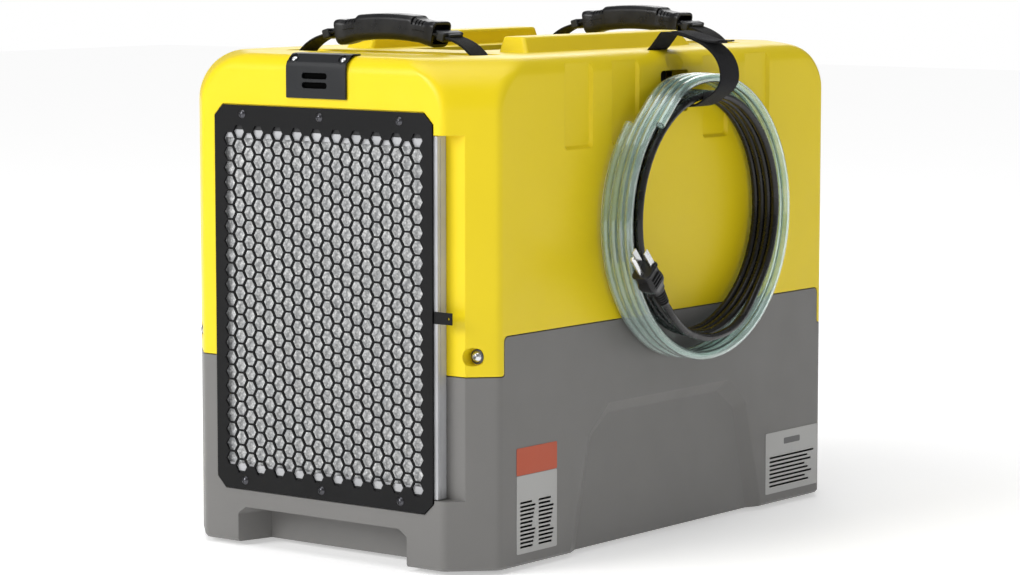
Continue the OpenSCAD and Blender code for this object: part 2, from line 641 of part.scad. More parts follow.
module accumulator() color([0.16, 0.16, 0.17]) translate([acc.x, acc.y, 0]) {
    translate([0, 0, 74]) cylinder(r = 27, h = 120);
    for (z = [74, 194]) translate([0, 0, z]) intersection() {
        sphere(r = 27, $fn = 48);
        translate([-30, -30, z > 100 ? -eps : -14]) cube([60, 60, 14 + eps]);
    }
    translate([0, 0, base_top]) cylinder(r = 8, h = 52);
}
module pipe(points, r) {
    for (i = [0:len(points) - 2]) {
        d = points[i + 1] - points[i];
        translate(points[i]) rotate([0, acos(d.z / norm(d)), atan2(d.y, d.x)])
            cylinder(r = r, h = norm(d), $fn = 20);
        if (i > 0) translate(points[i]) sphere(r = r, $fn = 20);
    }
}
row_z = pack_z0 + tube_step / 2;
top_row_z = pack_z1 - tube_step / 2;
module refrigerant_lines() color([0.72, 0.45, 0.3]) {
    pipe([[-110, evap_y - 10, top_row_z], [-130, evap_y - 10, top_row_z], [-130, evap_y - 10, 392],
        [-130, acc.y, 392], [acc.x, acc.y, 392], [acc.x, acc.y, 208]], 6);
    pipe([[comp.x, comp.y, base_top + 204.3], [comp.x, comp.y, top_row_z],
        [comp.x, -120, top_row_z], [-140, -120, top_row_z], [-140, cond_y + 10, top_row_z],
        [-110, cond_y + 10, top_row_z]], 5);
    pipe([[-110, evap_y + 10, row_z], [-146, evap_y + 10, row_z], [-146, evap_y + 10, 112],
        [-146, -36, 112], [-146, -36, row_z], [-146, -42, row_z]], 2);
    difference() {
        pipe([[acc.x, acc.y, 130], [comp.x, comp.y, 130]], 8);
        translate([acc.x, acc.y, 100]) cylinder(r = 27, h = 60);
        translate([comp.x, comp.y, 100]) cylinder(r = comp_r, h = 60, $fn = 48);
    }
}
module filter_drier() color([0.72, 0.45, 0.3]) {
    pipe([[-110, cond_y + 10, row_z], [-146, cond_y + 10, row_z], [-146, -146, row_z]], 4);
    translate([-146, -146, row_z]) rotate([-90, 0, 0]) cylinder(r1 = 4, r2 = 15, h = 12);
    translate([-146, -134, row_z]) rotate([-90, 0, 0]) cylinder(r = 15, h = 74);
    translate([-146, -60, row_z]) rotate([-90, 0, 0]) cylinder(r1 = 15, r2 = 3, h = 12);
    pipe([[-146, -48, row_z], [-146, -42, row_z]], 3);
}

// Condensate pump with a float that switches it on.
tank_lo = [56, 100, base_top];
tank_hi = [150, 170, base_top + 62];
float_at = [80, 135];
module pump_tank() color([0.86, 0.88, 0.9]) difference() {
    union() {
        block(tank_lo, tank_hi);
        translate([129, 136, tank_hi.z]) cylinder(r = 6, h = 6);
    }
    block(tank_lo + [3, 3, 3], [tank_hi.x - 3, tank_hi.y - 3, tank_hi.z - 3]);
    translate([129, 136, tank_hi.z - 10]) cylinder(r = 4, h = 30);
    translate([float_at.x, float_at.y, tank_hi.z - 10]) cylinder(r = 4.06, h = 30);
}
module pump_float() color("white") translate([float_at.x, float_at.y, base_top + 3.5]) {
    cylinder(r = 16, h = 18);
    cylinder(r = 4, h = 70);
}
module pump_motor() color([0.2, 0.22, 0.25]) {
    translate([108, 118, tank_hi.z]) cylinder(r = 13, h = 46);
    block([94, 106, tank_hi.z], [122, 130, tank_hi.z + 8]);
}
module pump_hose() color([0.8, 0.82, 0.84]) pipe([[129, 136, tank_hi.z + 6], [129, 136, 92],
    [158, 136, 92], [158, 230, 92], [outlet_at.x, 230, 92], [outlet_at.x, 230, outlet_at.y],
    [outlet_at.x, half_d - 18, outlet_at.y]], 8);
module run_capacitor() color("silver") translate([76, -70, base_top]) {
    cylinder(r = 22, h = 92);
    for (x = [-8, 8]) translate([x - 3, -0.5, 92]) cube([6, 1, 9]);
}
outlet_at = [120, 44];
module drain_outlet() color([0.75, 0.77, 0.78]) translate([outlet_at.x, 0, outlet_at.y]) difference() {
    union() {
        bar_y(11, half_d, half_d + 4);
        bar_y(7.9, half_d - wall, half_d);
        bar_y(5, half_d - 18, half_d - wall);
        bar_y(9, half_d + 4, half_d + 10);
        for (k = [0:2]) translate([0, half_d + 10 + k * 5, 0]) rotate([-90, 0, 0])
            cylinder(r1 = 5, r2 = 4.2, h = 5);
    }
    bar_y(2.6, half_d - 20, half_d + 30);
}

// Cord and hose. Both coils hang on the +X wall.
coil_x0 = half_w + 3;
cord_c = [15, 300];
hose_c = [15, 298.5];
cord_in = 106.6;
cord_out = 120.8;
hose_in = 124.6;
hose_out = 133.5;
gland_exit = [half_w + 9, -76, 300];
lead_route = [gland_exit, [186, -76, 319], [185.5, -75, 339], [185, -71, 358], [184.6, -64, 375],
    [184.5, -55, 388]];
plug_tilt = 41.3;
plug_face = [231, -118, 263];
tail_route = [[211, 72, 202], [214.5, 44, 191], [217.5, 15, 187.5], [219, -5, 188.5], [221, -24, 192.5],
    [224, -43.5, 198.5], [227.5, -62, 208], [230, -74.5, 216.5], [231, -86.3, 227]];
tube_sides = 10;
function unit(v) = v / norm(v);
function heading(p, i) = unit(p[min(i + 1, len(p) - 1)] - p[max(i - 1, 0)]);
// Each ring stands across the route; its first spoke stays square to +X, which no stretch follows.
function ring_at(p, i, r) = let (t = heading(p, i))
    let (u = unit(cross(t, [1, 0, 0])), v = cross(t, u))
    [for (k = [0:tube_sides - 1]) p[i] + r * (cos(360 * k / tube_sides) * u
        + sin(360 * k / tube_sides) * v)];
module tube(route, d) {
    n = len(route);
    pts = [for (i = [0:n - 1]) each ring_at(route, i, d / 2)];
    walls = [for (i = [0:n - 2], k = [0:tube_sides - 1]) let (a = i * tube_sides)
        let (b = (k + 1) % tube_sides) [a + k, a + b, a + tube_sides + b, a + tube_sides + k]];
    caps = [[for (k = [tube_sides - 1:-1:0]) k],
        [for (k = [0:tube_sides - 1]) (n - 1) * tube_sides + k]];
    polyhedron(points = pts, faces = concat(walls, caps));
}
module coil_ring(c, r0, r1, width) translate([coil_x0, c.x, c.y]) rotate([0, 90, 0])
    rotate_extrude($fn = 96) polygon([[r0, 0], [r1, 0], [r1, width], [r0, width]]);
module cord_gland() color([0.15, 0.15, 0.15]) difference() {
    union() {
        block([half_w, -85, 262], [half_w + 3, -67, 300]);
        block([half_w + 3, -83.5, 264], [half_w + 15, -68.5, 294]);
        translate([gland_exit.x, gland_exit.y, 290]) cylinder(r1 = 7, r2 = 6, h = 10);
    }
    translate([gland_exit.x, gland_exit.y, 294]) cylinder(r = cord_d / 2, h = 10);
}
module power_cord_lead() color([0.12, 0.12, 0.12])
    tube(concat([gland_exit - [0, 0, 6]], lead_route), cord_d);
module power_cord_coil() color([0.12, 0.12, 0.12])
    coil_ring(cord_c, cord_in, cord_out, coil_turns * cord_d + 0.6);
module power_cord_tail() color([0.12, 0.12, 0.12]) tube(tail_route, cord_d);
module power_plug() color([0.15, 0.15, 0.15]) translate(plug_face) rotate([plug_tilt, 0, 0]) {
    translate([0, -2, -28]) linear_extrude(28) polygon(fillet([[-10.5, -12], [10.5, -12],
        [10.5, 12], [-10.5, 12]], 6, 4));
    translate([0, 0, -48]) cylinder(r1 = 4.8, r2 = 7, h = 20 + eps);
    for (x = [-6.35, 6.35]) block([x - 0.75, 0.6, -1], [x + 0.75, 6.9, 17.5]);
    translate([0, -8.2, -1]) cylinder(r = 2.4, h = 20);
    translate([0, -8.2, 19]) sphere(r = 2.4);
}
module drain_hose_coil() color([0.75, 0.85, 0.8])
    coil_ring(hose_c, hose_in, hose_out, coil_turns * hose_d);

module side_labels() {
    color("lightgray") block([half_w, -236, 14], [half_w + 0.4, -177, 108.8]);
    color("lightgray") block([half_w, 163, 13.3], [half_w + 0.4, 256, 73.6]);
}

upper_housing();
base_housing();
housing_bolts();
rubber_feet();
intake_grille();
grille_screws();
filter_frame();
filter_media();
filter_pull_tab();
sensor_cover();
sensor_cover_screws();
sensor_board();
translate([0, -handle_y, 0]) handle_grip();  // front_handle_grip
translate([0, -handle_y, 0]) handle_strap();  // front_handle_strap
translate([0, -handle_y, 0]) handle_collars();  // front_handle_collars
translate([0, -handle_y, 0]) handle_stops();  // front_handle_stops
translate([0, handle_y, 0]) handle_grip();  // rear_handle_grip
translate([0, handle_y, 0]) handle_strap();  // rear_handle_strap
translate([0, handle_y, 0]) handle_collars();  // rear_handle_collars
translate([0, handle_y, 0]) handle_stops();  // rear_handle_stops
coil_strap();
control_panel();
display_window();
power_button();
mode_button();
up_button();
down_button();
control_board();
outlet_grille();
outlet_screws();
fan_bulkhead();
fan_impeller();
fan_shaft();
fan_motor();
motor_bracket();
evaporator_fins();
evaporator_tubes();
condenser_fins();
condenser_tubes();
coil_end_plates();
drain_pan();
compressor();
compressor_grommets();
compressor_bolts();
accumulator();
refrigerant_lines();
filter_drier();
pump_tank();
pump_float();
pump_motor();
pump_hose();
run_capacitor();
drain_outlet();
cord_gland();
power_cord_lead();
power_cord_coil();
power_cord_tail();
power_plug();
drain_hose_coil();
side_labels();
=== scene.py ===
"""Looks for the portable dehumidifier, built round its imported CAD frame.

Lengths are millimetres in the CAD's own frame until add() turns them into metres.
"""

import math

import bmesh
import bpy
from mathutils import Matrix, Vector, noise


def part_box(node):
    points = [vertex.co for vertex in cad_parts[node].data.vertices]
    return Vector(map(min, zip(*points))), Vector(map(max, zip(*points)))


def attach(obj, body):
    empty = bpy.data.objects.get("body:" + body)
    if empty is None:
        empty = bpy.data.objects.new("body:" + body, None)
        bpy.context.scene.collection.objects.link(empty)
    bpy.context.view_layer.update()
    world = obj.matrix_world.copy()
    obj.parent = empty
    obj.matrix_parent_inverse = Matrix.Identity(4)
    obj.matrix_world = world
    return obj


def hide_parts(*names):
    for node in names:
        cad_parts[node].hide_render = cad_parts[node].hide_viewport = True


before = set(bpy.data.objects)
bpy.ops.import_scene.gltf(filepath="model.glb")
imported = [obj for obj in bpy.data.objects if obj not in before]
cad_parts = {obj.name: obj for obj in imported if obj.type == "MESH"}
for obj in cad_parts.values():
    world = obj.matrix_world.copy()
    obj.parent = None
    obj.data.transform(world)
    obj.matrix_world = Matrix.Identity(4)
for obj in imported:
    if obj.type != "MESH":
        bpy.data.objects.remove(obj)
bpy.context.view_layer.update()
MM = 0.001


def cad_box(node):
    """Lowest and highest corner of a CAD node, in millimetres."""
    low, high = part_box(node)
    return low / MM, high / MM


# ---------------------------------------------------------------- driving sizes, from the frame
shell_low, shell_high = cad_box("upper_housing")
base_low, base_high = cad_box("base_housing")
grille_low, grille_high = cad_box("intake_grille")
cassette_low, cassette_high = cad_box("filter_frame")
grip_low, grip_high = cad_box("front_handle_grip")
cover_low, cover_high = cad_box("sensor_cover")
HALF_W = base_high.x
HALF_D = base_high.y
BASE_Z = base_low.z
RIB_H = 14
DECK = shell_high.z - RIB_H
TAB_Z = shell_low.z
SIDE_Z = 210
TAB_Y = 253.4
WALL = 4
CORNER = 36
TOP_R = 16
CORNER_TOP_R = 45
SEAM = 0.45
GRILLE_X = (grille_low.x + grille_high.x) / 2
GRILLE_Z = (grille_low.z + grille_high.z) / 2
HANDLE_Y = -(grip_low.y + grip_high.y) / 2
FAN_Z = 300
BOLT_X = 160
BOLT_Z = 193
BOLT_SEAT = HALF_D - 25.5
CORNERS = [(sx, sy) for sx in (-1, 1) for sy in (-1, 1)]
STRAP_Y = cad_box("coil_strap")[0].y, cad_box("coil_strap")[1].y
CORD_D = 7.4
HOSE_D = 8.5


# ---------------------------------------------------------------- camera and studio
def look_camera():
    azimuth, elevation = math.radians(37.70), math.radians(6.438)
    camera = bpy.data.cameras.new("camera")
    camera.sensor_width = 36
    camera.lens = 117.62
    camera.shift_x = 0.0047
    camera.shift_y = 0.0121
    camera.clip_end = 100
    holder = bpy.data.objects.new("camera", camera)
    bpy.context.scene.collection.objects.link(holder)
    holder.location = (1.9419, -2.5358, 0.5681)
    forward = Vector((-math.sin(azimuth) * math.cos(elevation), math.cos(azimuth) * math.cos(elevation),
                      -math.sin(elevation)))
    holder.rotation_euler = forward.to_track_quat("-Z", "Y").to_euler()
    bpy.context.scene.camera = holder


def area_light(name, place, target, size, power):
    light = bpy.data.lights.new(name, "AREA")
    light.shape = "RECTANGLE"
    light.size, light.size_y = size
    light.energy = power
    holder = bpy.data.objects.new(name, light)
    bpy.context.scene.collection.objects.link(holder)
    holder.location = place
    holder.rotation_euler = (Vector(target) - Vector(place)).to_track_quat("-Z", "Y").to_euler()


def studio():
    area_light("key_front", (-1.1, -2.9, 1.6), (0, -0.1, 0.25), (1.6, 1.4), 58)
    area_light("top_soft", (0.0, -0.3, 2.3), (0, 0, 0.4), (1.8, 2.0), 24)
    area_light("side_fill", (2.9, -0.4, 1.5), (0, 0, 0.25), (0.8, 1.3), 3)
    area_light("back_fill", (-1.6, 2.4, 1.6), (0, 0, 0.25), (1.6, 1.6), 16)
    world = bpy.data.worlds.new("studio")
    world.use_nodes = True
    tree = world.node_tree
    soft = tree.nodes["Background"]
    soft.inputs["Color"].default_value = (1, 1, 1, 1)
    soft.inputs["Strength"].default_value = 0.24
    backdrop = tree.nodes.new("ShaderNodeBackground")
    backdrop.inputs["Color"].default_value = (1, 1, 1, 1)
    either = tree.nodes.new("ShaderNodeMixShader")
    rays = tree.nodes.new("ShaderNodeLightPath")
    clear = tree.nodes.new("ShaderNodeMath")
    clear.operation = "MAXIMUM"
    tree.links.new(rays.outputs["Is Camera Ray"], clear.inputs[0])
    tree.links.new(rays.outputs["Is Transmission Ray"], clear.inputs[1])
    tree.links.new(clear.outputs[0], either.inputs[0])
    tree.links.new(soft.outputs[0], either.inputs[1])
    tree.links.new(backdrop.outputs[0], either.inputs[2])
    tree.links.new(either.outputs[0], tree.nodes["World Output"].inputs["Surface"])
    bpy.context.scene.world = world
    bpy.context.scene.view_settings.view_transform = "Standard"


# ---------------------------------------------------------------- procedural materials
class Graph:
    """A material's node tree, with short calls for the nodes used below."""

    def __init__(self, name):
        self.material = bpy.data.materials.new(name)
        self.material.use_nodes = True
        self.tree = self.material.node_tree
        self.shader = self.tree.nodes["Principled BSDF"]
        self.place = self.node("ShaderNodeTexCoord").outputs["Object"]

    def node(self, kind, **settings):
        made = self.tree.nodes.new(kind)
        for key, value in settings.items():
            setattr(made, key, value)
        return made

    def link(self, source, target):
        self.tree.links.new(source, target)
        return target

    def feed(self, node, **values):
        for key, value in values.items():
            socket = node.inputs[key.replace("_", " ")]
            if isinstance(value, bpy.types.NodeSocket):
                self.link(value, socket)
            else:
                socket.default_value = value
        return node

    def scaled(self, factors, source=None):
        mapping = self.node("ShaderNodeMapping")
        self.link(source or self.place, mapping.inputs["Vector"])
        mapping.inputs["Scale"].default_value = factors
        return mapping.outputs["Vector"]

    def noise(self, scale, detail=3.0, rough=0.55, vector=None):
        made = self.node("ShaderNodeTexNoise")
        self.feed(made, Vector=vector or self.place, Scale=scale, Detail=detail, Roughness=rough)
        return made.outputs["Fac"]

    def voronoi(self, scale, feature="F1", vector=None):
        made = self.node("ShaderNodeTexVoronoi", feature=feature)
        self.feed(made, Vector=vector or self.place, Scale=scale)
        return made.outputs["Distance"]

    def wave(self, scale, direction="X", vector=None, profile="SIN"):
        made = self.node("ShaderNodeTexWave", bands_direction=direction, wave_profile=profile)
        self.feed(made, Vector=vector or self.place, Scale=scale)
        return made.outputs["Fac"]

    def math(self, operation, a, b=0.0):
        made = self.node("ShaderNodeMath", operation=operation)
        for socket, value in zip(made.inputs, (a, b)):
            if isinstance(value, bpy.types.NodeSocket):
                self.link(value, socket)
            else:
                socket.default_value = value
        return made.outputs[0]

    def spread(self, source, low, high, start=0.3, end=0.7):
        made = self.node("ShaderNodeMapRange")
        self.feed(made, Value=source, From_Min=start, From_Max=end, To_Min=low, To_Max=high)
        return made.outputs["Result"]

    def mix(self, factor, a, b, kind="MIX"):
        made = self.node("ShaderNodeMix", data_type="RGBA", blend_type=kind)
        for socket, value in ((made.inputs["Factor"], factor), (made.inputs[6], a), (made.inputs[7], b)):
            if isinstance(value, bpy.types.NodeSocket):
                self.link(value, socket)
            elif isinstance(value, (int, float)):
                socket.default_value = value
            else:
                socket.default_value = (*value, 1)
        return made.outputs[2]

    def bumps(self, layers, edge=None):
        """Stacks bumps of (height, distance in mm) on a softened edge of that radius in mm."""
        normal = None
        if edge:
            bevel = self.node("ShaderNodeBevel", samples=4)
            bevel.inputs["Radius"].default_value = edge * MM
            normal = bevel.outputs["Normal"]
        for height, distance in layers:
            bump = self.node("ShaderNodeBump")
            bump.inputs["Strength"].default_value = 1.0
            bump.inputs["Distance"].default_value = distance * MM
            self.link(height, bump.inputs["Height"])
            if normal:
                self.link(normal, bump.inputs["Normal"])
            normal = bump.outputs["Normal"]
        if normal:
            self.link(normal, self.shader.inputs["Normal"])

    def fixed(self, **values):
        for key, value in values.items():
            self.shader.inputs[key.replace("_", " ")].default_value = value


def shade(colour, factor):
    return tuple(min(1.0, c * factor) for c in colour)


def moulded(name, colour, rough=0.45, tint=0.05, grain=0.05, edge=0.8, coat=0.0, gloss=0.5):
    """Injection-moulded plastic: a fine spark-eroded grain, faint flow marks and softened edges."""
    g = Graph(name)
    flow = g.noise(7, 3)
    g.link(g.mix(g.spread(flow, 0, 1), shade(colour, 1 - tint), shade(colour, 1 + tint)),
           g.shader.inputs["Base Color"])
    smudge = g.noise(23, 4)
    g.link(g.spread(smudge, rough - 0.05, rough + 0.06), g.shader.inputs["Roughness"])
    g.bumps([(g.noise(1500, 2), grain), (g.noise(16, 1), 0.12)], edge)
    g.fixed(Coat_Weight=coat, Coat_Roughness=0.25, Specular_IOR_Level=gloss)
    return g.material


def metal(name, colour, rough=0.3, stretch=(40, 40, 600), grain=0.02, edge=0.3, metallic=1.0):
    """Drawn or brushed metal, with the brush lines along the axis that isn't stretched."""
    g = Graph(name)
    lines = g.noise(1.0, 4, 0.6, g.scaled(stretch))
    stain = g.noise(30, 3)
    g.link(g.mix(g.spread(stain, 0, 1), shade(colour, 0.86), shade(colour, 1.06)),
           g.shader.inputs["Base Color"])
    g.link(g.spread(lines, rough - 0.08, rough + 0.12), g.shader.inputs["Roughness"])
    g.bumps([(lines, grain)], edge)
    g.fixed(Metallic=metallic)
    return g.material


def rubbery(name, colour, rough=0.6, grain=0.08, edge=0.5, gloss=0.5):
    g = Graph(name)
    g.link(g.mix(g.spread(g.noise(35, 4), 0, 1), shade(colour, 0.82), shade(colour, 1.3)),
           g.shader.inputs["Base Color"])
    g.link(g.spread(g.noise(80, 3), rough - 0.1, rough + 0.08), g.shader.inputs["Roughness"])
    g.bumps([(g.noise(900, 3), grain)], edge)
    g.fixed(Specular_IOR_Level=gloss)
    return g.material


def webbing(name, colour, ribs=900.0):
    """Woven webbing: its UVs run across (u) and along (v) the strap, in metres."""
    g = Graph(name)
    uv = g.node("ShaderNodeUVMap", uv_map="weave").outputs["UV"]
    across = g.wave(ribs * 0.18, "X", uv)
    along = g.wave(ribs * 0.36, "Y", uv)
    weave = g.math("MULTIPLY", across, along)
    fuzz = g.noise(2600, 3)
    height = g.math("ADD", weave, g.math("MULTIPLY", fuzz, 0.6))
    # Painted shade and highlight: the colour follows the weave's height, darker in its hollows and lighter on
    # the raised threads, with random fibre tone from the fuzz.
    g.link(g.mix(g.spread(height, 0, 1, 0.2, 1.2), shade(colour, 0.45), shade(colour, 1.9)),
           g.shader.inputs["Base Color"])
    g.fixed(Roughness=0.8, Sheen_Weight=0.08, Sheen_Roughness=0.4, Specular_IOR_Level=0.22)
    g.bumps([(height, 0.35)], 0.3)
    return g.material


def fibre(name):
    """Glass-fibre mat: bright strands over grey gaps."""
    g = Graph(name)
    warp = g.noise(120, 3)
    strands = g.voronoi(420, "F1")
    clumps = g.noise(190, 5, 0.7)
    tone = g.math("ADD", g.math("MULTIPLY", strands, 0.9), g.math("MULTIPLY", clumps, 0.9))
    g.link(g.mix(g.spread(tone, 0, 1, 0.45, 1.1), (0.97, 0.97, 0.96), (0.50, 0.51, 0.52)),
           g.shader.inputs["Base Color"])
    g.fixed(Roughness=0.9)
    g.bumps([(clumps, 1.2), (warp, 0.8)])
    return g.material


def vinyl(name):
    """Clear green-tinted vinyl hose, with the faint haze of a handled one."""
    g = Graph(name)
    haze = g.noise(45, 3)
    g.link(g.mix(g.spread(haze, 0, 1), (0.84, 0.95, 0.92), (0.70, 0.86, 0.80)), g.shader.inputs["Base Color"])
    g.link(g.spread(g.noise(160, 3), 0.02, 0.06), g.shader.inputs["Roughness"])
    g.fixed(IOR=1.45, Transmission_Weight=0.9, Coat_Weight=1.0, Coat_Roughness=0.03)
    return g.material


def copper(name, colour=(0.72, 0.34, 0.2)):
    g = Graph(name)
    patina = g.noise(60, 5, 0.65)
    g.link(g.mix(g.spread(patina, 0, 1, 0.42, 0.7), colour, (0.34, 0.16, 0.1)), g.shader.inputs["Base Color"])
    g.link(g.spread(patina, 0.22, 0.5), g.shader.inputs["Roughness"])
    g.bumps([(g.noise(400, 2), 0.03)], 0.3)
    g.fixed(Metallic=1.0)
    return g.material


def smoked(name):
    """A dark glossy display window with a faint mottled tint."""
    g = Graph(name)
    g.link(g.mix(g.spread(g.noise(9, 2), 0, 1), (0.010, 0.013, 0.018), (0.02, 0.026, 0.034)),
           g.shader.inputs["Base Color"])
    g.link(g.spread(g.noise(60, 3), 0.06, 0.13), g.shader.inputs["Roughness"])
    g.fixed(Coat_Weight=1.0, Coat_Roughness=0.05)
    g.bumps([(g.noise(300, 2), 0.005)], 0.4)
    return g.material


def circuit(name):
    g = Graph(name)
    tracks = g.math("GREATER_THAN", g.voronoi(260, "DISTANCE_TO_EDGE"), 0.08)
    g.link(g.mix(tracks, (0.10, 0.34, 0.14), (0.012, 0.11, 0.05)), g.shader.inputs["Base Color"])
    g.link(g.spread(g.noise(90), 0.3, 0.45), g.shader.inputs["Roughness"])
    g.bumps([(tracks, 0.03)], 0.2)
    return g.material


def lit_floor(name):
    """A pale sweep with a painted glow that grows with distance from the centre, so the far floor reads white
    and the floor near the object stays dimmer.
    """
    g = Graph(name)
    g.link(g.mix(g.noise(3, 2), (0.90, 0.90, 0.90), (0.92, 0.92, 0.92)), g.shader.inputs["Base Color"])
    far = g.node("ShaderNodeVectorMath", operation="LENGTH")
    g.link(g.place, far.inputs[0])
    # Painted glow: emission strength rises from 0.40 near the centre to 0.74 far away.
    g.link(g.spread(far.outputs["Value"], 0.40, 0.74, 0.5, 1.7), g.shader.inputs["Emission Strength"])
    g.fixed(Roughness=0.9, Emission_Color=(1, 1, 1, 1), Specular_IOR_Level=0.1)
    return g.material


PALETTE = {}


def paint(name):
    """The material of that name, made when it is first asked for."""
    if name not in PALETTE:
        PALETTE[name] = MAKERS[name]()
    return PALETTE[name]


MAKERS = {
    "yellow": lambda: moulded("yellow", (0.88, 0.675, 0.008), 0.36, 0.02, 0.035, 1.0, gloss=0.36),
    "grey": lambda: moulded("grey", (0.188, 0.184, 0.178), 0.46, 0.04, 0.05, 1.0, gloss=0.4),
    "black": lambda: moulded("black", (0.0045, 0.0045, 0.005), 0.42, 0.2, 0.1, gloss=0.18),
    "satin_black": lambda: moulded("satin_black", (0.011, 0.012, 0.014), 0.4, 0.12, 0.06, gloss=0.32),
    "panel": lambda: moulded("panel", (0.035, 0.036, 0.040), 0.5, 0.08, 0.03, 0.4),
    "grip": lambda: rubbery("grip", (0.0075, 0.0075, 0.009), 0.34, 0.04, 0.8, 0.34),
    "rubber": lambda: rubbery("rubber", (0.016, 0.016, 0.017), 0.7),
    "shadow": lambda: moulded("shadow", (0.003, 0.003, 0.003), 0.9, 0.1, 0.02, None, gloss=0.0),
    "cord": lambda: rubbery("cord", (0.0085, 0.008, 0.009), 0.3, 0.03, None, 0.42),
    "plug": lambda: moulded("plug", (0.009, 0.009, 0.010), 0.3, 0.1, 0.04, 0.5, gloss=0.4),
    "webbing": lambda: webbing("webbing", (0.008, 0.008, 0.009)),
    "hook": lambda: webbing("hook", (0.0065, 0.0065, 0.009), 1500.0),
    "silver": lambda: metal("silver", (0.50, 0.505, 0.52), 0.5, (900, 900, 14), metallic=0.15),
    "zinc": lambda: metal("zinc", (0.78, 0.79, 0.80), 0.26, (300, 300, 300)),
    # Dark oxide finish for the black screws, also used as painted shade on the corner washers.
    "black_oxide_and_shade": lambda: metal("black_oxide_and_shade", (0.10, 0.10, 0.11), 0.3, (300, 300, 300)),
    "sheet": lambda: metal("sheet", (0.62, 0.64, 0.66), 0.42, (14, 500, 500), 0.03),
    "fins": lambda: metal("fins", (0.80, 0.82, 0.84), 0.32, (300, 14, 300)),
    "steel": lambda: metal("steel", (0.66, 0.67, 0.68), 0.22, (500, 14, 500)),
    "can": lambda: metal("can", (0.74, 0.75, 0.77), 0.3, (400, 400, 14)),
    "enamel": lambda: moulded("enamel", (0.016, 0.016, 0.017), 0.24, 0.15, 0.03, 0.8, 0.5),
    "motor": lambda: moulded("motor", (0.03, 0.03, 0.033), 0.4, 0.15, 0.05, 0.6, 0.2),
    "blade": lambda: moulded("blade", (0.028, 0.029, 0.031), 0.4, 0.1, 0.04, 0.6),
    "media": lambda: fibre("media"),
    "vinyl": lambda: vinyl("vinyl"),
    "copper": lambda: copper("copper"),
    "tank": lambda: moulded("tank", (0.72, 0.76, 0.78), 0.4, 0.05, 0.04, 0.8),
    "white": lambda: moulded("white", (0.80, 0.80, 0.77), 0.42, 0.05, 0.04, 0.8),
    "pale_button": lambda: moulded("pale_button", (0.50, 0.51, 0.53), 0.4, 0.05, 0.03, 0.5),
    "red_button": lambda: moulded("red_button", (0.55, 0.035, 0.02), 0.35, 0.06, 0.03, 0.5),
    "smoked": lambda: smoked("smoked"),
    "circuit": lambda: circuit("circuit"),
    "label_paper": lambda: moulded("label_paper", (0.44, 0.44, 0.43), 0.4, 0.03, 0.01, None),
    "label_orange": lambda: moulded("label_orange", (0.50, 0.075, 0.022), 0.4, 0.03, 0.01, None),
    "label_ink": lambda: moulded("label_ink", (0.12, 0.12, 0.12), 0.45, 0.03, 0.01, None),
    "floor": lambda: lit_floor("floor"),
}


# ---------------------------------------------------------------- outlines and meshes
def rounded(corners, radius, steps=6, edge_points=0):
    """A closed outline with every corner rounded, and each straight run cut into equal parts."""
    count, points = len(corners), []
    radii = radius if isinstance(radius, (list, tuple)) else [radius] * count
    for i, corner in enumerate(corners):
        p = Vector(corner)
        before = (Vector(corners[i - 1]) - p).normalized()
        after = (Vector(corners[(i + 1) % count]) - p).normalized()
        half = before.angle(after) / 2
        reach = radii[i] / math.tan(half)
        centre = p + (before + after).normalized() * (radii[i] / math.sin(half))
        first, last = p + before * reach - centre, p + after * reach - centre
        turn = first.angle_signed(last)
        for k in range(steps + 1):
            a = -turn * k / steps
            points.append(centre + Vector((first.x * math.cos(a) - first.y * math.sin(a),
                                           first.x * math.sin(a) + first.y * math.cos(a))))
    if not edge_points:
        return points
    full = []
    for i in range(count):
        run = points[i * (steps + 1):(i + 1) * (steps + 1)]
        following = points[((i + 1) % count) * (steps + 1)]
        full += run
        full += [run[-1].lerp(following, k / (edge_points + 1)) for k in range(1, edge_points + 1)]
    return full


def new_mesh(verts, faces):
    bm = bmesh.new()
    made = [bm.verts.new(v) for v in verts]
    for face in faces:
        bm.faces.new([made[i] for i in face])
    bmesh.ops.recalc_face_normals(bm, faces=bm.faces)
    return bm


def loft(loops, closed=False):
    """Skins equal closed loops of 3-D points, with flat caps unless the skin closes on itself."""
    size, count = len(loops[0]), len(loops)
    verts = [v for loop in loops for v in loop]
    faces = []
    for i in range(count if closed else count - 1):
        a, b = i * size, ((i + 1) % count) * size
        faces += [(a + k, a + (k + 1) % size, b + (k + 1) % size, b + k) for k in range(size)]
    if not closed:
        faces += [tuple(range(size))[::-1], tuple((count - 1) * size + k for k in range(size))]
    return new_mesh(verts, faces)


AXES = {"x": lambda a, b, t: (t, a, b), "y": lambda a, b, t: (a, t, b), "z": lambda a, b, t: (a, b, t)}


def prism(outline, low, high, axis):
    """A closed outline, drawn in the two axes across it, extruded from low to high."""
    put = AXES[axis]
    return loft([[put(p[0], p[1], t) for p in outline] for t in (low, high)])


def layered(outline_at, levels, axis="z"):
    put = AXES[axis]
    return loft([[put(p[0], p[1], t) for p in outline_at(t)] for t in levels])


def block(low, high, edge=0.0, steps=3):
    """A box between two corners, with rounded edges."""
    (x0, y0, z0), (x1, y1, z1) = low, high
    bm = prism([(x0, y0), (x1, y0), (x1, y1), (x0, y1)], z0, z1, "z")
    if edge:
        bmesh.ops.bevel(bm, geom=bm.edges[:], offset=edge, segments=steps, profile=0.5, affect="EDGES")
    return bm


def lathe(profile, steps=48, centre=(0, 0, 0), axis="z"):
    """Turns a closed (radius, height) profile, all radii above zero, about an axis."""
    loops = []
    for i in range(steps):
        a = 2 * math.pi * i / steps
        c, s = math.cos(a), math.sin(a)
        loops.append([Vector(AXES[axis](r * c, r * s, h)) + Vector(centre) for r, h in profile])
    return loft(loops, closed=True)


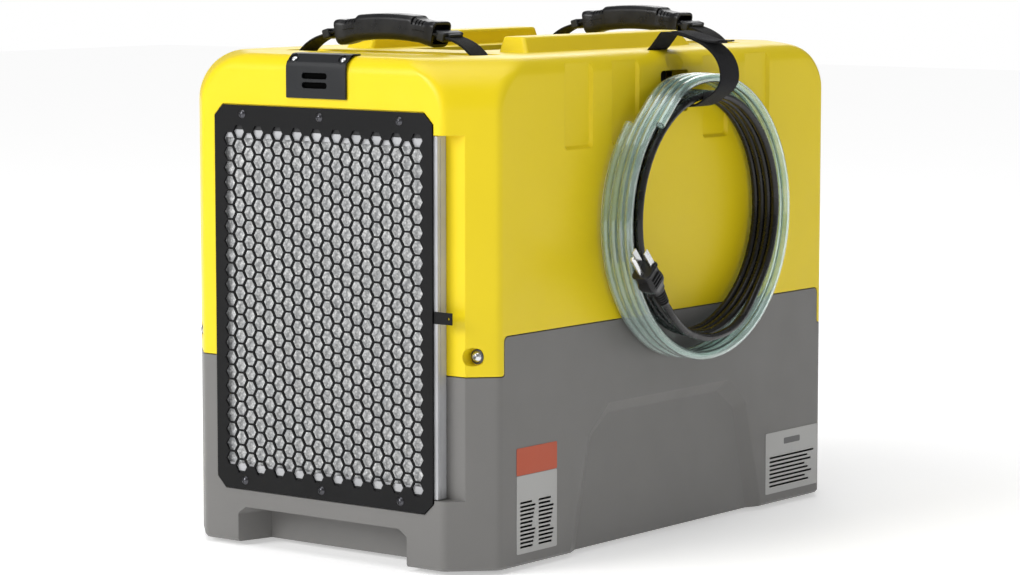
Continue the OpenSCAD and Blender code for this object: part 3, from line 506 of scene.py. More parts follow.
def frames_along(path, up=(1, 0, 0)):
    """A point, a sideways and an upward unit vector at each point of a path."""
    found = []
    for i, p in enumerate(path):
        along = (path[min(i + 1, len(path) - 1)] - path[max(i - 1, 0)]).normalized()
        side = along.cross(Vector(up)).normalized()
        found.append((p, side, side.cross(along)))
    return found


def sweep(path, section, up=(1, 0, 0)):
    """Carries a closed section, or one for each point, along a path."""
    path = [Vector(p) for p in path]
    loops = []
    for i, (p, side, rise) in enumerate(frames_along(path, up)):
        here = section(i) if callable(section) else section
        loops.append([p + side * a + rise * b for a, b in here])
    return loft(loops)


def joined(*parts):
    """Several meshes as one, each still a shell of its own."""
    whole = bmesh.new()
    for part in parts:
        data = bpy.data.meshes.new("part")
        part.to_mesh(data)
        part.free()
        whole.from_mesh(data)
        bpy.data.meshes.remove(data)
    return whole


def moved(bm, matrix):
    bm.transform(matrix)
    if matrix.determinant() < 0:
        bmesh.ops.reverse_faces(bm, faces=bm.faces)
    return bm


def mirrored(make):
    """The shape that make() gives, and its mirror image in x."""
    return joined(make(), moved(make(), Matrix.Diagonal((-1, 1, 1, 1))))


def at(x, y, z, turn=0.0, about="Z"):
    return Matrix.Translation((x, y, z)) @ Matrix.Rotation(math.radians(turn), 4, about)


def holder(bm, name="solid"):
    mesh = bpy.data.meshes.new(name)
    bm.to_mesh(mesh)
    bm.free()
    obj = bpy.data.objects.new(name, mesh)
    bpy.context.scene.collection.objects.link(obj)
    return obj


def applied(obj):
    """Bakes an object's modifiers into a fresh mesh."""
    bpy.context.view_layer.update()
    old = obj.data
    fresh = bpy.data.meshes.new_from_object(obj.evaluated_get(bpy.context.evaluated_depsgraph_get()))
    obj.modifiers.clear()
    obj.data = fresh
    bpy.data.meshes.remove(old)


def carved(solid, *steps):
    """Cuts or joins solids one after another: ("-", mesh), ("+", mesh) or ("&", mesh)."""
    obj = holder(solid)
    names = {"-": "DIFFERENCE", "+": "UNION", "&": "INTERSECT"}
    for sign, tool in steps:
        other = holder(tool)
        modifier = obj.modifiers.new("cut", "BOOLEAN")
        modifier.operation = names[sign]
        modifier.solver = "MANIFOLD"
        modifier.object = other
        applied(obj)
        data = other.data
        bpy.data.objects.remove(other)
        bpy.data.meshes.remove(data)
    bm = bmesh.new()
    bm.from_mesh(obj.data)
    data = obj.data
    bpy.data.objects.remove(obj)
    bpy.data.meshes.remove(data)
    return bm


def add(name, bm, body, finish, replaced=(), smooth=32, subdivide=0, weighted=True):
    """Makes a piece from a mesh in millimetres: it rides on a body and takes a finish."""
    obj = holder(bm, name)
    obj.data.name = name
    obj.data.transform(Matrix.Scale(MM, 4))
    obj.data.polygons.foreach_set("use_smooth", [True] * len(obj.data.polygons))
    if subdivide:
        modifier = obj.modifiers.new("round", "SUBSURF")
        modifier.levels = modifier.render_levels = subdivide
        applied(obj)
    obj.data.set_sharp_from_angle(angle=math.radians(smooth))
    if weighted:
        modifier = obj.modifiers.new("shading", "WEIGHTED_NORMAL")
        modifier.keep_sharp = True
        modifier.weight = 80
        applied(obj)
    obj.data.materials.clear()
    obj.data.materials.append(paint(finish))
    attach(obj, body)
    if replaced:
        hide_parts(*replaced)
    return obj


def keep(node, finish):
    """A CAD node stays as it is, in a finish of its own."""
    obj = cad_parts[node]
    obj.data.materials.clear()
    obj.data.materials.append(paint(finish))
    for polygon in obj.data.polygons:
        polygon.material_index = 0


# ---------------------------------------------------------------- cord and hose
LEAD = [(186, -76, 294), (186, -76, 300), (186, -76, 319), (185.5, -75, 339), (185, -71, 358),
        (184.6, -64, 375), (184.5, -55, 388)]
TAIL = [(211, 72, 202), (214.5, 44, 191), (217.5, 15, 187.5), (219, -5, 188.5), (221, -24, 192.5),
        (224, -43.5, 198.5), (227.5, -62, 208), (230, -74.5, 216.5), (231, -86.3, 227)]
COIL_X = HALF_W + 3


def eased(value):
    value = min(1.0, max(0.0, value))
    return value * value * (3 - 2 * value)


def smoothed(points, steps):
    """A Catmull-Rom line through points."""
    points = [Vector(p) for p in points]
    ends = [points[0] * 2 - points[1], *points, points[-1] * 2 - points[-2]]
    line = []
    for a, b, c, d in zip(ends, ends[1:], ends[2:], ends[3:]):
        for k in range(steps):
            t = k / steps
            line.append(0.5 * ((2 * b) + (c - a) * t + (2 * a - 5 * b + 4 * c - d) * t * t
                               + (3 * b - a - 3 * c + d) * t ** 3))
    return line + [points[-1]]


def cord_line():
    """Up from the gland, clockwise round the coil, then out to the plug."""
    turns, step_from, step_over = 3, -65, 50
    ring = []
    angle = 115.0
    while angle > -1122:
        lean = 3.0 * (1 - math.cos(math.radians(angle))) * eased((115 - angle) / 120)
        x = COIL_X + 0.4 + CORD_D / 2 + lean + CORD_D * sum(
            eased((step_from - 360 * k - angle) / step_over) for k in range(turns))
        wave = 0.5 * math.sin(math.radians(angle * 0.73)) + 0.35 * math.sin(math.radians(angle * 1.31 + 40))
        y = 15 + (116.2 + wave) * math.cos(math.radians(angle))
        z = 301 + (110.8 + wave) * math.sin(math.radians(angle))
        ring.append((x, y, z))
        angle -= 12
    return smoothed(LEAD + ring + TAIL, 3)


def hose_line():
    """Four turns side by side, both ends cut square near the strap."""
    line = []
    start, finish, step = 136.0, 136.0 + 1440, 4.0
    angle = start
    while angle <= finish:
        x = COIL_X + HOSE_D / 2 + HOSE_D * sum(eased((angle - 102 - 360 * k) / 32) for k in range(1, 5))
        wave = 0.45 * math.sin(math.radians(angle * 0.61 + 15)) * eased((angle - start) / 60)
        y = 15 + (128.75 + wave) * math.cos(math.radians(angle))
        z = 298.5 + (128.75 + wave) * math.sin(math.radians(angle))
        line.append(Vector((x, y, z)))
        angle += step
    return line


def cord_and_hose(plug):
    line = cord_line()
    curve = bpy.data.curves.new("power_cord", "CURVE")
    curve.dimensions = "3D"
    curve.bevel_depth = CORD_D / 2 * MM
    curve.bevel_resolution = 5
    curve.use_fill_caps = True
    spline = curve.splines.new("POLY")
    spline.points.add(len(line) - 1)
    for point, place in zip(spline.points, line):
        point.co = (*(place * MM), 1)
    spline.use_smooth = True
    cord = bpy.data.objects.new("power_cord", curve)
    bpy.context.scene.collection.objects.link(cord)
    curve.materials.append(paint("cord"))
    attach(cord, "cabinet")
    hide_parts("power_cord_lead", "power_cord_coil", "power_cord_tail")

    line = hose_line()
    ring = [(math.cos(2 * math.pi * k / 20), math.sin(2 * math.pi * k / 20)) for k in range(20)]
    outer, inner = HOSE_D / 2, HOSE_D / 2 - 1.5
    wall = [[(outer * c, outer * s) for c, s in ring], [(inner * c, inner * s) for c, s in ring]]
    spots = frames_along(line)
    loops = [[p + side * a + rise * b for a, b in wall[0]] for p, side, rise in spots]
    loops += [[p + side * a + rise * b for a, b in wall[1]] for p, side, rise in reversed(spots)]
    hose = add("drain_hose", loft(loops, closed=True), "cabinet", "vinyl", ["drain_hose_coil"],
               50, weighted=False)


def power_plug():
    """Three-pin plug with a ribbed strain relief; built upright, then tilted into place."""
    face, tilt = Vector((231, -118, 263)), 41.3
    place = Matrix.Translation(face) @ Matrix.Rotation(math.radians(tilt), 4, "X")

    def body_outline(t):
        fit = 1 - 0.13 * eased((-t - 2.2) / 1.6) + 0.10 * eased((-t - 8) / 7) - 0.30 * eased((-t - 17) / 9)
        fit -= 0.05 * eased((t + 1) / 1)
        return rounded([(-9.8 * fit, -13.2 * fit), (9.8 * fit, -13.2 * fit), (9.8 * fit, 9.2 * fit),
                        (-9.8 * fit, 9.2 * fit)], 4.6 * fit, 5)

    body = layered(body_outline, [-28, -26.5, -25, -22, -19, -16, -13, -10, -8, -6, -3.9, -3.2, -2.2, -1,
                                  -0.4, 0])
    panels = [block((side * 12 - 3.1, -9.5, -18), (side * 12 + 3.1, 5.5, -7), 0.8, 2) for side in (-1, 1)]
    grips = [block((side * 9.2 - 0.9, -8.4, -16.4 + 3.4 * k), (side * 9.2 + 0.9, 4.4, -14.9 + 3.4 * k), 0.5,
                   2)
             for side in (-1, 1) for k in range(3)]
    ribs = [(0.1, -28.5), (6.4, -28.5), (6.2, -30.4)]
    for k in range(5):
        z, r = -31.2 - 2.9 * k, 6.3 - 0.34 * k
        ribs += [(r - 1.3, z + 0.5), (r - 1.3, z - 0.6), (r, z - 1.0), (r, z - 1.9)]
    ribs += [(4.1, -46), (3.9, -48), (0.1, -48)]
    parts = [carved(body, *[("-", panel) for panel in panels]), lathe(ribs, 28), *grips]
    body = add("power_plug_body", moved(joined(*parts), place), "cabinet", "plug", ["power_plug"])
    blades = [block((x - 0.75, 0.6, -1), (x + 0.75, 6.9, 17.3), 0.35, 2) for x in (-6.35, 6.35)]
    pin = lathe([(0.05, -1), (2.4, -1), (2.4, 18.6), (2.2, 19.8), (1.5, 20.9), (0.05, 21.3)], 24,
                (0, -8.2, 0))
    blades = add("power_plug_blades", moved(joined(*blades), place), "cabinet", "zinc")
    pin = add("power_plug_pin", moved(pin, place), "cabinet", "zinc")
    return [body, blades, pin]


# ---------------------------------------------------------------- cabinet
def top_inset(z, radius, inset):
    """How far the rounded top edge has drawn in at height z."""
    radius, top = radius - inset, DECK - inset
    over = min(max(z - (top - radius), 0.0), radius)
    return inset + radius - math.sqrt(max(radius * radius - over * over, 0.0))


def cabinet_outline(z, inset=0.0):
    """Plan outline at height z: a chamfered rectangle with softened corners."""
    side = top_inset(z, TOP_R, inset)
    reach = (HALF_W + HALF_D - CORNER) - top_inset(z, CORNER_TOP_R, inset) * math.sqrt(2)
    w, d = HALF_W - side, HALF_D - side
    b, a = reach - d, reach - w
    corners = [(b, -d), (w, -a), (w, a), (b, d), (-b, d), (-w, a), (-w, -a), (-b, -d)]
    soft = max(11 - inset, 3) + 16 * eased((z - (DECK - CORNER_TOP_R)) / CORNER_TOP_R)
    return rounded(corners, soft, 6, 9)


def cabinet_levels(low, inset=0.0):
    """Heights of the loft's rows, close together where the top edge rounds over."""
    top = DECK - inset
    walls = [low, low + 1.5, 260, 330, top - CORNER_TOP_R]
    rise = [top - CORNER_TOP_R + k * (CORNER_TOP_R - TOP_R) / 7 for k in range(1, 7)]
    radius = TOP_R - inset
    last = [top - radius + radius * math.sin(math.radians(a))
            for a in (0, 9, 18, 28, 38, 48, 58, 67, 75, 82, 87)]
    return walls + rise + last + [top - 0.002]


def cabinet_solid(low, inset=0.0):
    return layered(lambda z: cabinet_outline(z, inset), cabinet_levels(low, inset))


def parting(gap, top):
    """What lies below (top < 0) or above the parting line, as a prism right through the cabinet."""
    far = 420
    step = [(-TAB_Y - gap, TAB_Z + gap), (-TAB_Y - gap, SIDE_Z + gap), (TAB_Y + gap, SIDE_Z + gap),
            (TAB_Y + gap, TAB_Z + gap)]
    corners = [(-far, TAB_Z + gap), *step, (far, TAB_Z + gap), (far, top), (-far, top)]
    soft = [0.01, 2.5, 5, 5, 2.5, 0.01, 0.01, 0.01]
    return prism(rounded(corners, soft, 4), -300, 300, "x")


def intake_outline(grow):
    w = (grille_high.x - grille_low.x) / 2 + grow
    h = (grille_high.z - grille_low.z) / 2 + grow
    c = 10 + grow * 0.4
    return [(GRILLE_X + sx * a, GRILLE_Z + sz * b) for sx, sz, a, b in
            [(-1, -1, w - c, h), (1, -1, w - c, h), (1, -1, w, h - c), (1, 1, w, h - c), (1, 1, w - c, h),
             (-1, 1, w - c, h), (-1, 1, w, h - c), (-1, -1, w, h - c)]]


def intake_cuts():
    """The grille's shallow recess, the cassette's pocket with its side notch, and the air way."""
    front = -HALF_D
    return [("-", prism(rounded(intake_outline(0.9), 1.5, 3), front - 6, front + 1.2, "y")),
            ("-", block((cassette_low.x - 0.6, front - 8, cassette_low.z - 0.6),
                        (HALF_W + 30, cassette_high.y + 0.5, cassette_high.z + 0.6))),
            ("-", block((cassette_low.x + 10, front, cassette_low.z + 10),
                        (cassette_high.x - 10, front + 40, cassette_high.z - 10)))]


def intake_frame():
    return ("+", carved(block((-132, -HALF_D + 1, 45), (162, -HALF_D + 24, 411)),
                        ("&", cabinet_solid(4, 0.6))))


def groove(y, width, depth, low):
    """One shallow side groove: a tapered slab that runs out over the top edge."""
    def outline(x):
        grow = 0.9 * (x - (HALF_W - depth))
        half = width / 2 - 1.2 + grow
        return rounded([(y - half, low + 1 - grow), (y + half, low + 1 - grow), (y + half, DECK + 30),
                        (y - half, DECK + 30)], [4, 4, 1, 1], 4)
    return layered(outline, [HALF_W - depth, HALF_W - depth + 1.5, HALF_W + 6], "x")


def deck_rib(grow=0.0):
    """One raised rib on the deck: upright inside, sloped outside and at both ends."""
    def outline(z):
        t = (z - DECK) / RIB_H
        x1 = 108 - 9 * t - grow
        run = 131 - 7 * t - grow
        return rounded([(75 + grow, -run), (x1, -run), (x1, run), (75 + grow, run)], 4, 5)
    top = DECK + RIB_H - grow
    bm = layered(outline, [DECK - 6, DECK, top - 3.0, top])
    edges = [e for e in bm.edges if all(abs(v.co.z - top) < 0.01 for v in e.verts)]
    bmesh.ops.bevel(bm, geom=edges, offset=2.2, segments=3, profile=0.5, affect="EDGES")
    return bm


def pocket(y, half_x, half_y, depth, soft, slope=1.2):
    def outline(z):
        grow = (z - (DECK - depth)) * slope / depth
        a, b = half_x - slope + grow, half_y - slope + grow
        return rounded([(-a, y - b), (a, y - b), (a, y + b), (-a, y + b)], soft, 5)
    return layered(outline, [DECK - depth, DECK, DECK + 6])


def strap_scoop():
    """The soft dip where the strap rolls over the side's top edge."""
    bm = bmesh.new()
    bmesh.ops.create_uvsphere(bm, u_segments=40, v_segments=24, radius=1)
    bm.transform(Matrix.Translation((HALF_W + 12, 5, DECK + 2)) @ Matrix.Diagonal((18.5, 24, 30, 1)))
    return bm


def rod(radius, start, end, steps, *place):
    """A solid rod between two heights on its axis, in either order."""
    low, high = min(start, end), max(start, end)
    return lathe([(0.01, low), (radius, low), (radius, high), (0.01, high)], steps, *place)


def bolt_recess(sx, sy, radius=8.0, deeper=0.0):
    return rod(radius, sy * (HALF_D + 8), sy * (BOLT_SEAT + deeper), 36, (sx * BOLT_X, 0, BOLT_Z), "y")


def upper_shell():
    rear = rod(116, HALF_D - 20, HALF_D + 8, 96, (0, 0, FAN_Z), "y")
    steps = [("+", mirrored(deck_rib)),
             ("-", cabinet_solid(150, WALL)),
             ("-", layered(lambda z: cabinet_outline(min(z, 300), 2.4), [150, 222])),
             intake_frame(),
             *[("+", block((-118, y - 27, DECK - 8), (118, y + 27, DECK - 2)))
               for y in (-HANDLE_Y, HANDLE_Y)],
             ("+", block((-46, -123, DECK - 13), (46, 123, DECK - 2)))]
    steps += [("+", carved(rod(12, sy * 263, sy * 292, 32, (sx * BOLT_X, 0, BOLT_Z), "y"),
                           ("&", cabinet_solid(150, 0.6)))) for sx, sy in CORNERS]
    steps += [("-", parting(SEAM, -60))]
    steps += intake_cuts()
    steps += [("-", mirrored(lambda y=y: groove(y, 39, 3.0, 370))) for y in (-144.5, -73, 72, 143)]
    steps += [("+", carved(block((HALF_W - 18, -26, 424), (HALF_W - 1, 38, DECK - 2)),
                           ("&", cabinet_solid(400, 0.5)))),
              ("-", strap_scoop()),
              ("-", block((HALF_W - 20, -18, 395), (HALF_W + 12, 26, 433.5), 3.5, 3)),
              ("-", block((152.5, -14.5, DECK - 22), (161.5, 20.5, DECK + 8), 2, 2)),
              ("-", pocket(-HANDLE_Y, 114, 22, 4, 9)), ("-", pocket(HANDLE_Y, 114, 22, 4, 9)),
              ("-", pocket(0, 40, 117, 8, 6, 0.6)),
              ("-", block((-18, -HALF_D - 2, 421), (16, -HALF_D + 10, 438), 2, 2)),
              ("-", rear)]
    steps += [("-", block((sx * 104 - 2, sy * HANDLE_Y - 13.5, DECK - 22),
                          (sx * 104 + 2, sy * HANDLE_Y + 13.5, DECK + 8)))
              for sx, sy in CORNERS]
    steps += [("-", bolt_recess(sx, sy)) for sx, sy in CORNERS]
    add("upper_shell", carved(cabinet_solid(TAB_Z - 8), *steps), "cabinet", "yellow",
        ["upper_housing"])


def foot_arch(sy):
    """The toe arch under the front or rear edge, tapered inwards."""
    def outline(t):
        narrow = 10 * t / 35
        half = 100 - narrow
        return rounded([(-half, -20), (half, -20), (half, 30), (half - 9, 36.5), (9 - half, 36.5),
                        (-half, 30)],
                       [1, 1, 3, 3, 3, 3], 3)
    bm = loft([[(p[0], -HALF_D + t, p[1]) for p in outline(max(t, 0))] for t in (-6, 0, 35)])
    return bm if sy < 0 else moved(bm, Matrix.Diagonal((1, -1, 1, 1)))


def side_recess(deep, grow=0.0):
    """The wide sloped recess in the tub's side."""
    def outline(t):
        b, m, mz, c, cz = (160 - 19 * t, 128 - 13 * t, 109 - 5 * t, 98 - 10 * t, 134.5 - 11.5 * t)
        return rounded([(-b - grow, -6), (b + grow, -6), (m + grow, mz), (c + grow, cz + grow),
                        (-c - grow, cz + grow), (-m - grow, mz)], [1, 1, 14, 12, 12, 14], 5)
    levels = [(-0.75, HALF_W + 6), (0, HALF_W), (0.14, HALF_W - 1.3), (0.86, HALF_W - deep + 1),
              (1, HALF_W - deep)]
    return loft([[(x, p[0], p[1]) for p in outline(t)] for t, x in levels])


def base_shell():
    def foot_outline(z):
        return cabinet_outline(300, max(0.0, 2.5 * (1 - (z - BASE_Z) / 2.5)) * 0.8)
    solid = layered(foot_outline, [BASE_Z, BASE_Z + 0.6, BASE_Z + 1.3, BASE_Z + 2.5, 60, 120, 174, 216])
    hollow = layered(lambda z: cabinet_outline(300, 4.8), [BASE_Z + 6, 60, 120, 174, 230])
    tongue = carved(layered(lambda z: cabinet_outline(300, 2.7), [150, 218]),
                    ("-", block((-HALF_W, -HALF_D - 5, TAB_Z - SEAM), (HALF_W, -HALF_D + 26, 230))))
    above = parting(-SEAM, 420)
    outside = carved(solid, ("-", above), ("+", tongue), ("-", hollow))
    lugs = [("+", carved(block((min(sx * 141, sx * 173), min(sy * 245, sy * 263), 150),
                               (max(sx * 141, sx * 173), max(sy * 245, sy * 263), 211)),
                         ("&", cabinet_solid(100, 4.4)))) for sx, sy in CORNERS]
    skins = [("+", mirrored(lambda: loft([[(x, p[0], p[1]) for p in rounded(
        [(-164, BASE_Z + 1), (164, BASE_Z + 1), (134, 113), (102, 138), (-102, 138), (-134, 113)],
        [1, 1, 14, 12, 12, 14], 5)] for x in (HALF_W - 12, HALF_W - 1)])))]
    for sy in (-1, 1):
        wall = block((-106, min(sy * 255, sy * 294), BASE_Z + 1), (106, max(sy * 255, sy * 294), 41))
        skins.append(("+", carved(wall, ("&", layered(lambda z: cabinet_outline(300, 1.0),
                                                      [BASE_Z + 1, 60])))))
    frame_part = ("+", carved(block((-132, -HALF_D + 1, 45), (158, -HALF_D + 20, TAB_Z - SEAM)),
                              ("&", layered(lambda z: cabinet_outline(300, 0.6), [10, 200]))))
    outlet = rod(8, HALF_D - 12, HALF_D + 4, 32, (120, 0, 44), "y")
    seats = [("-", bolt_recess(sx, sy, 12.2, -2)) for sx, sy in CORNERS]
    steps = skins + lugs + [frame_part] + seats + intake_cuts() + [
        ("-", foot_arch(-1)), ("-", foot_arch(1)),
        ("-", mirrored(lambda: side_recess(8))), ("-", outlet)]
    add("base_shell", carved(outside, *steps), "cabinet", "grey", ["base_housing"])


def dome_screw(radius, height, shank, drive="cross"):
    """A domed screw head on +Z with its shank below, and a cross or hexagon socket."""
    ball = (radius * radius + height * height) / (2 * height)
    dome = [(max(0.01, ball * math.sin(math.radians(a))), height - ball + ball * math.cos(math.radians(a)))
            for a in [i * math.degrees(math.asin(radius / ball)) / 6 for i in range(7)]]
    head = lathe([(0.01, -0.4), (radius, -0.4)] + dome[::-1], 32)
    if drive == "cross":
        tools = [("-", block((-radius * 0.55, -0.45, height * 0.45), (radius * 0.55, 0.45, height + 1))),
                 ("-", block((-0.45, -radius * 0.55, height * 0.45), (0.45, radius * 0.55, height + 1)))]
    else:
        hexagon = [(radius * 0.42 * math.cos(math.radians(60 * k)),
                    radius * 0.42 * math.sin(math.radians(60 * k)))
                   for k in range(6)]
        tools = [("-", prism(hexagon, height * 0.3, height + 1, "z"))]
    return joined(carved(head, *tools), lathe([(0.01, -shank), (radius * 0.42, -shank), (radius * 0.42, -0.3),
                                               (0.01, -0.3)], 16))


TO_FRONT = Matrix.Rotation(math.radians(90), 4, "X")


def bolts_and_screws():
    heads, washers = [], []
    for sx, sy in CORNERS:
        face = TO_FRONT if sy < 0 else Matrix.Rotation(math.radians(-90), 4, "X")
        place = Matrix.Translation((sx * BOLT_X, sy * (BOLT_SEAT + 1.2), BOLT_Z)) @ face
        heads.append(moved(dome_screw(5.1, 3.9, 15, "hexagon"), place))
        rim = [(3.1, -1.2), (6.6, -1.2), (6.8, -0.9), (6.8, -0.3), (6.6, 0), (3.1, 0)]
        washers.append(moved(lathe(rim, 32), place))
    add("corner_bolts", joined(*heads), "cabinet", "zinc", ["housing_bolts"])
    # The washers take the dark oxide finish as painted shade: they darken the ring round each bolt in its
    # recess.
    add("corner_washers", joined(*washers), "cabinet", "black_oxide_and_shade")
    low, high = cad_box("grille_screws")
    rows = (low.z + 4, high.z - 4)
    places = [(x, z) for x in (GRILLE_X - 93.8, GRILLE_X - 1.8, GRILLE_X + 90.2) for z in rows]
    add("intake_screws", joined(*[moved(dome_screw(4, 2.3, 12),
                                        Matrix.Translation((x, grille_low.y, z)) @ TO_FRONT)
                                  for x, z in places]), "cabinet", "black_oxide_and_shade",
        ["grille_screws"])
    low, high = cad_box("outlet_screws")
    back = Matrix.Rotation(math.radians(-90), 4, "X")
    add("rear_screws", joined(*[moved(dome_screw(4, 2.0, 12), Matrix.Translation((x, HALF_D + 2, z)) @ back)
                                for x in (low.x + 4, high.x - 4) for z in (low.z + 4, high.z - 4)]),
        "cabinet", "black_oxide_and_shade", ["outlet_screws"])


def feet():
    profile = [(0.01, 0.05), (4, 0.05), (4.6, 0.9), (7, 0.9), (7.6, 0), (11.2, 0), (12.2, 0.5), (13.6, 3.4),
               (0.01, 3.4)]
    parts = [lathe(profile, 40, (sx * 150, sy * 242, 0)) for sx, sy in CORNERS]
    add("feet", joined(*parts), "cabinet", "rubber", ["rubber_feet"])


# ---------------------------------------------------------------- intake
def filter_mat(low, high):
    """Crumpled mat: two bumpy sheets, closed at the rim."""
    columns, rows = 150, 190
    x0, x1, z0, z1 = low.x + 3.4, high.x - 3.4, low.z + 3.4, high.z - 3.4
    verts, faces = [], []
    for side in (0, 1):
        for j in range(rows + 1):
            for i in range(columns + 1):
                x = x0 + (x1 - x0) * i / columns
                z = z0 + (z1 - z0) * j / rows
                spot = Vector((x, z, 40 * side)) * 0.11
                y = low.y + 3.4 + 1.5 * noise.noise(spot) + 0.9 * noise.noise(spot * 2.7) + 4.4 * side
                verts.append((x, y, z))
    stride, across = (columns + 1) * (rows + 1), columns + 1
    for j in range(rows):
        for i in range(columns):
            a = j * across + i
            quad = (a, a + 1, a + across + 1, a + across)
            faces += [quad, tuple(stride + q for q in quad[::-1])]
    rim = list(range(columns)) + [columns + j * across for j in range(rows)]
    rim += [rows * across + i for i in range(columns, 0, -1)] + [j * across for j in range(rows, 0, -1)]
    faces += [(a, b, stride + b, stride + a) for a, b in zip(rim, rim[1:] + rim[:1])]
    return new_mesh(verts, faces)


def intake():
    keep("intake_grille", "black")
    low, high = cassette_low, cassette_high
    back, front = grille_high.y, low.y
    # A dark rubber strip behind the grille's border: painted shade round the top of the cassette, where the
    # pocket behind the plate lies in shadow.
    shade_strip = prism(rounded(intake_outline(-0.6), 1.5, 3), back, back + 0.3, "y")
    inside = block((low.x + 1, back - 1, low.z + 3.2), (GRILLE_X + 121, back + 1, high.z - 2.6))
    right = block((high.x - 4, back - 1, 0), (high.x + 9, back + 1, 500))
    add("grille_shade_strip", carved(shade_strip, ("-", inside), ("-", right)), "cabinet", "rubber")
    outer = block(low, high, 0.5, 2)
    opening = block((low.x + 4.6, front - 2, low.z + 10), (high.x - 10, high.y + 2, high.z - 10))
    channel = block((low.x + 3, front + 1.2, low.z + 3), (high.x - 3, high.y - 1.2, high.z - 3))
    groove = block((high.x - 0.5, front + 3.6, low.z - 1), (high.x + 1, front + 4.4, high.z + 1))
    add("cassette_frame", carved(outer, ("-", opening), ("-", channel), ("-", groove)), "filter", "silver",
        ["filter_frame"])
    add("cassette_media", filter_mat(low, high), "filter", "media", ["filter_media"], 60)
    tab_low, tab_high = cad_box("filter_pull_tab")
    hole = rod(1.2, tab_low.y - 2, tab_high.y + 2, 24, (tab_high.x - 4, 0, 227.3), "y")
    add("cassette_tab", carved(block(tab_low, tab_high, 0.35, 2), ("-", hole)), "filter", "black",
        ["filter_pull_tab"])


def sensor_cover():
    """Folded cover over the front top edge, with two slots and a cupped screw in each top corner."""
    x0, x1 = cover_low.x, cover_high.x
    z0 = cover_low.z
    front, top = cover_low.y, cover_high.z
    outside = [(front + 2.5, z0), (front, z0 + 0.01), (front, 442), (front + 1.6, 446.2),
               (front + 9.0, top - 0.7),
               (front + 12, top), (-276, top), (-276, DECK + 0.15), (-288.2, DECK + 0.15), (-295.1, 445.2)]
    bm = prism(outside, x0, x1, "x")
    edges = [e for e in bm.edges if all(abs(v.co.x - x0) < 0.01 for v in e.verts) or
             all(abs(v.co.x - x1) < 0.01 for v in e.verts)]
    bmesh.ops.bevel(bm, geom=edges, offset=0.7, segments=2, profile=0.5, affect="EDGES")
    cuts = []
    for z in (433.9, 425.5):
        outline = rounded([(-17, z - 2.8), (12.4, z - 2.8), (12.4, z + 2.8), (-17, z + 2.8)], 2.6, 6)
        cuts.append(("-", prism(outline, front - 4, -290, "y")))
    tilt = Matrix.Rotation(math.radians(45), 4, "X")
    rings, cups, screws = [], [], []
    for x in (x0 + 6.5, x1 - 6.5):
        seat = Matrix.Translation((x, -293.4, 449.4)) @ tilt
        cuts.append(("-", moved(rod(4.7, -3, 9, 32), seat)))
        cups.append(moved(lathe([(0.01, -2.2), (4.5, -2.2), (4.5, -1.5), (0.01, -1.4)], 32), seat))
        rings.append(moved(lathe([(4.5, -2.2), (5.3, -2.2), (5.3, 0.15), (5.1, 0.45), (4.7, 0.45),
                                  (4.5, 0.15)], 40),
                           seat))
        screws.append(moved(dome_screw(3.1, 1.7, 4), seat @ at(0, 0, -1.3, 20)))
    add("sensor_cover_shell", joined(carved(bm, *cuts), *rings), "cabinet", "satin_black",
        ["sensor_cover"], 25)
    add("sensor_cover_cups", joined(*cups), "cabinet", "rubber")
    add("sensor_cover_fixings", joined(*screws), "cabinet", "zinc", ["sensor_cover_screws"])
    # A sheet behind the slots in the shadow material: painted shade inside the cover's slots.
    screen = block((x0 + 5, -294.9, 420), (x1 - 5, -294.3, 439), 0.2, 1)
    add("sensor_shadow_screen", screen, "cabinet", "shadow")
    keep("sensor_board", "circuit")


# ---------------------------------------------------------------- strap handles
GRIP_R = 297.9
GRIP_Z = 475.5
GRIP_END = 11.2


def grip_point(angle, lift=0.0):
    a = math.radians(angle)
    return Vector(((GRIP_R + lift) * math.sin(a), 0, GRIP_Z - GRIP_R + (GRIP_R + lift) * math.cos(a)))


def handle_grip():
    """Arched grip: a raised middle pad, slotted shoulders and flared cuffs open at both ends."""
    count = 56
    path = [grip_point(-GRIP_END + 2 * GRIP_END * i / count) for i in range(count + 1)]

    def section(i):
        t = abs(-1 + 2 * i / count)
        crown = 1 - eased((t - 0.52) / 0.1)
        flare = eased((t - 0.80) / 0.14)
        half = 12.3 + 0.7 * crown + 1.0 * flare
        top = 9.2 + 2.6 * crown + 1.6 * flare
        under = 11.8 + 1.0 * eased((t - 0.66) / 0.2)
        return rounded([(-half, -under), (half, -under), (half, top), (-half, top)], [7, 7, 5.5, 5.5], 5)

    body = sweep(path, section, up=(0, 0, 1))
    ends = [f for f in body.faces if len(f.verts) > 6]
    bmesh.ops.bevel(body, geom=list({e for f in ends for e in f.edges}), offset=1.0, segments=2, profile=0.5,
                    affect="EDGES")
    cuts = []
    for side in (-1, 1):
        mouth = rounded([(-10.9, -9.6), (10.9, -9.6), (10.9, 8.2), (-10.9, 8.2)], 2.5, 3)
        reach = [grip_point(side * (GRIP_END + step)) for step in (-1.9, -1.2, -0.4, 0.8)]
        cuts.append(("-", sweep(reach, mouth, up=(0, 0, 1))))
        for k in range(4):
            spot = grip_point(side * (6.3 + 0.72 * k), 9.2)
            slots = [moved(block((-0.75, -6.5, -1.6), (0.75, 6.5, 4)),
                           Matrix.Translation((spot.x, y, spot.z)) @ Matrix.Rotation(math.radians(turn), 4,
                                                                                     "X"))
                     for y, turn in ((-9.4, 42), (9.4, -42))]
            cuts.append(("-", joined(*slots)))
    return carved(body, *cuts)


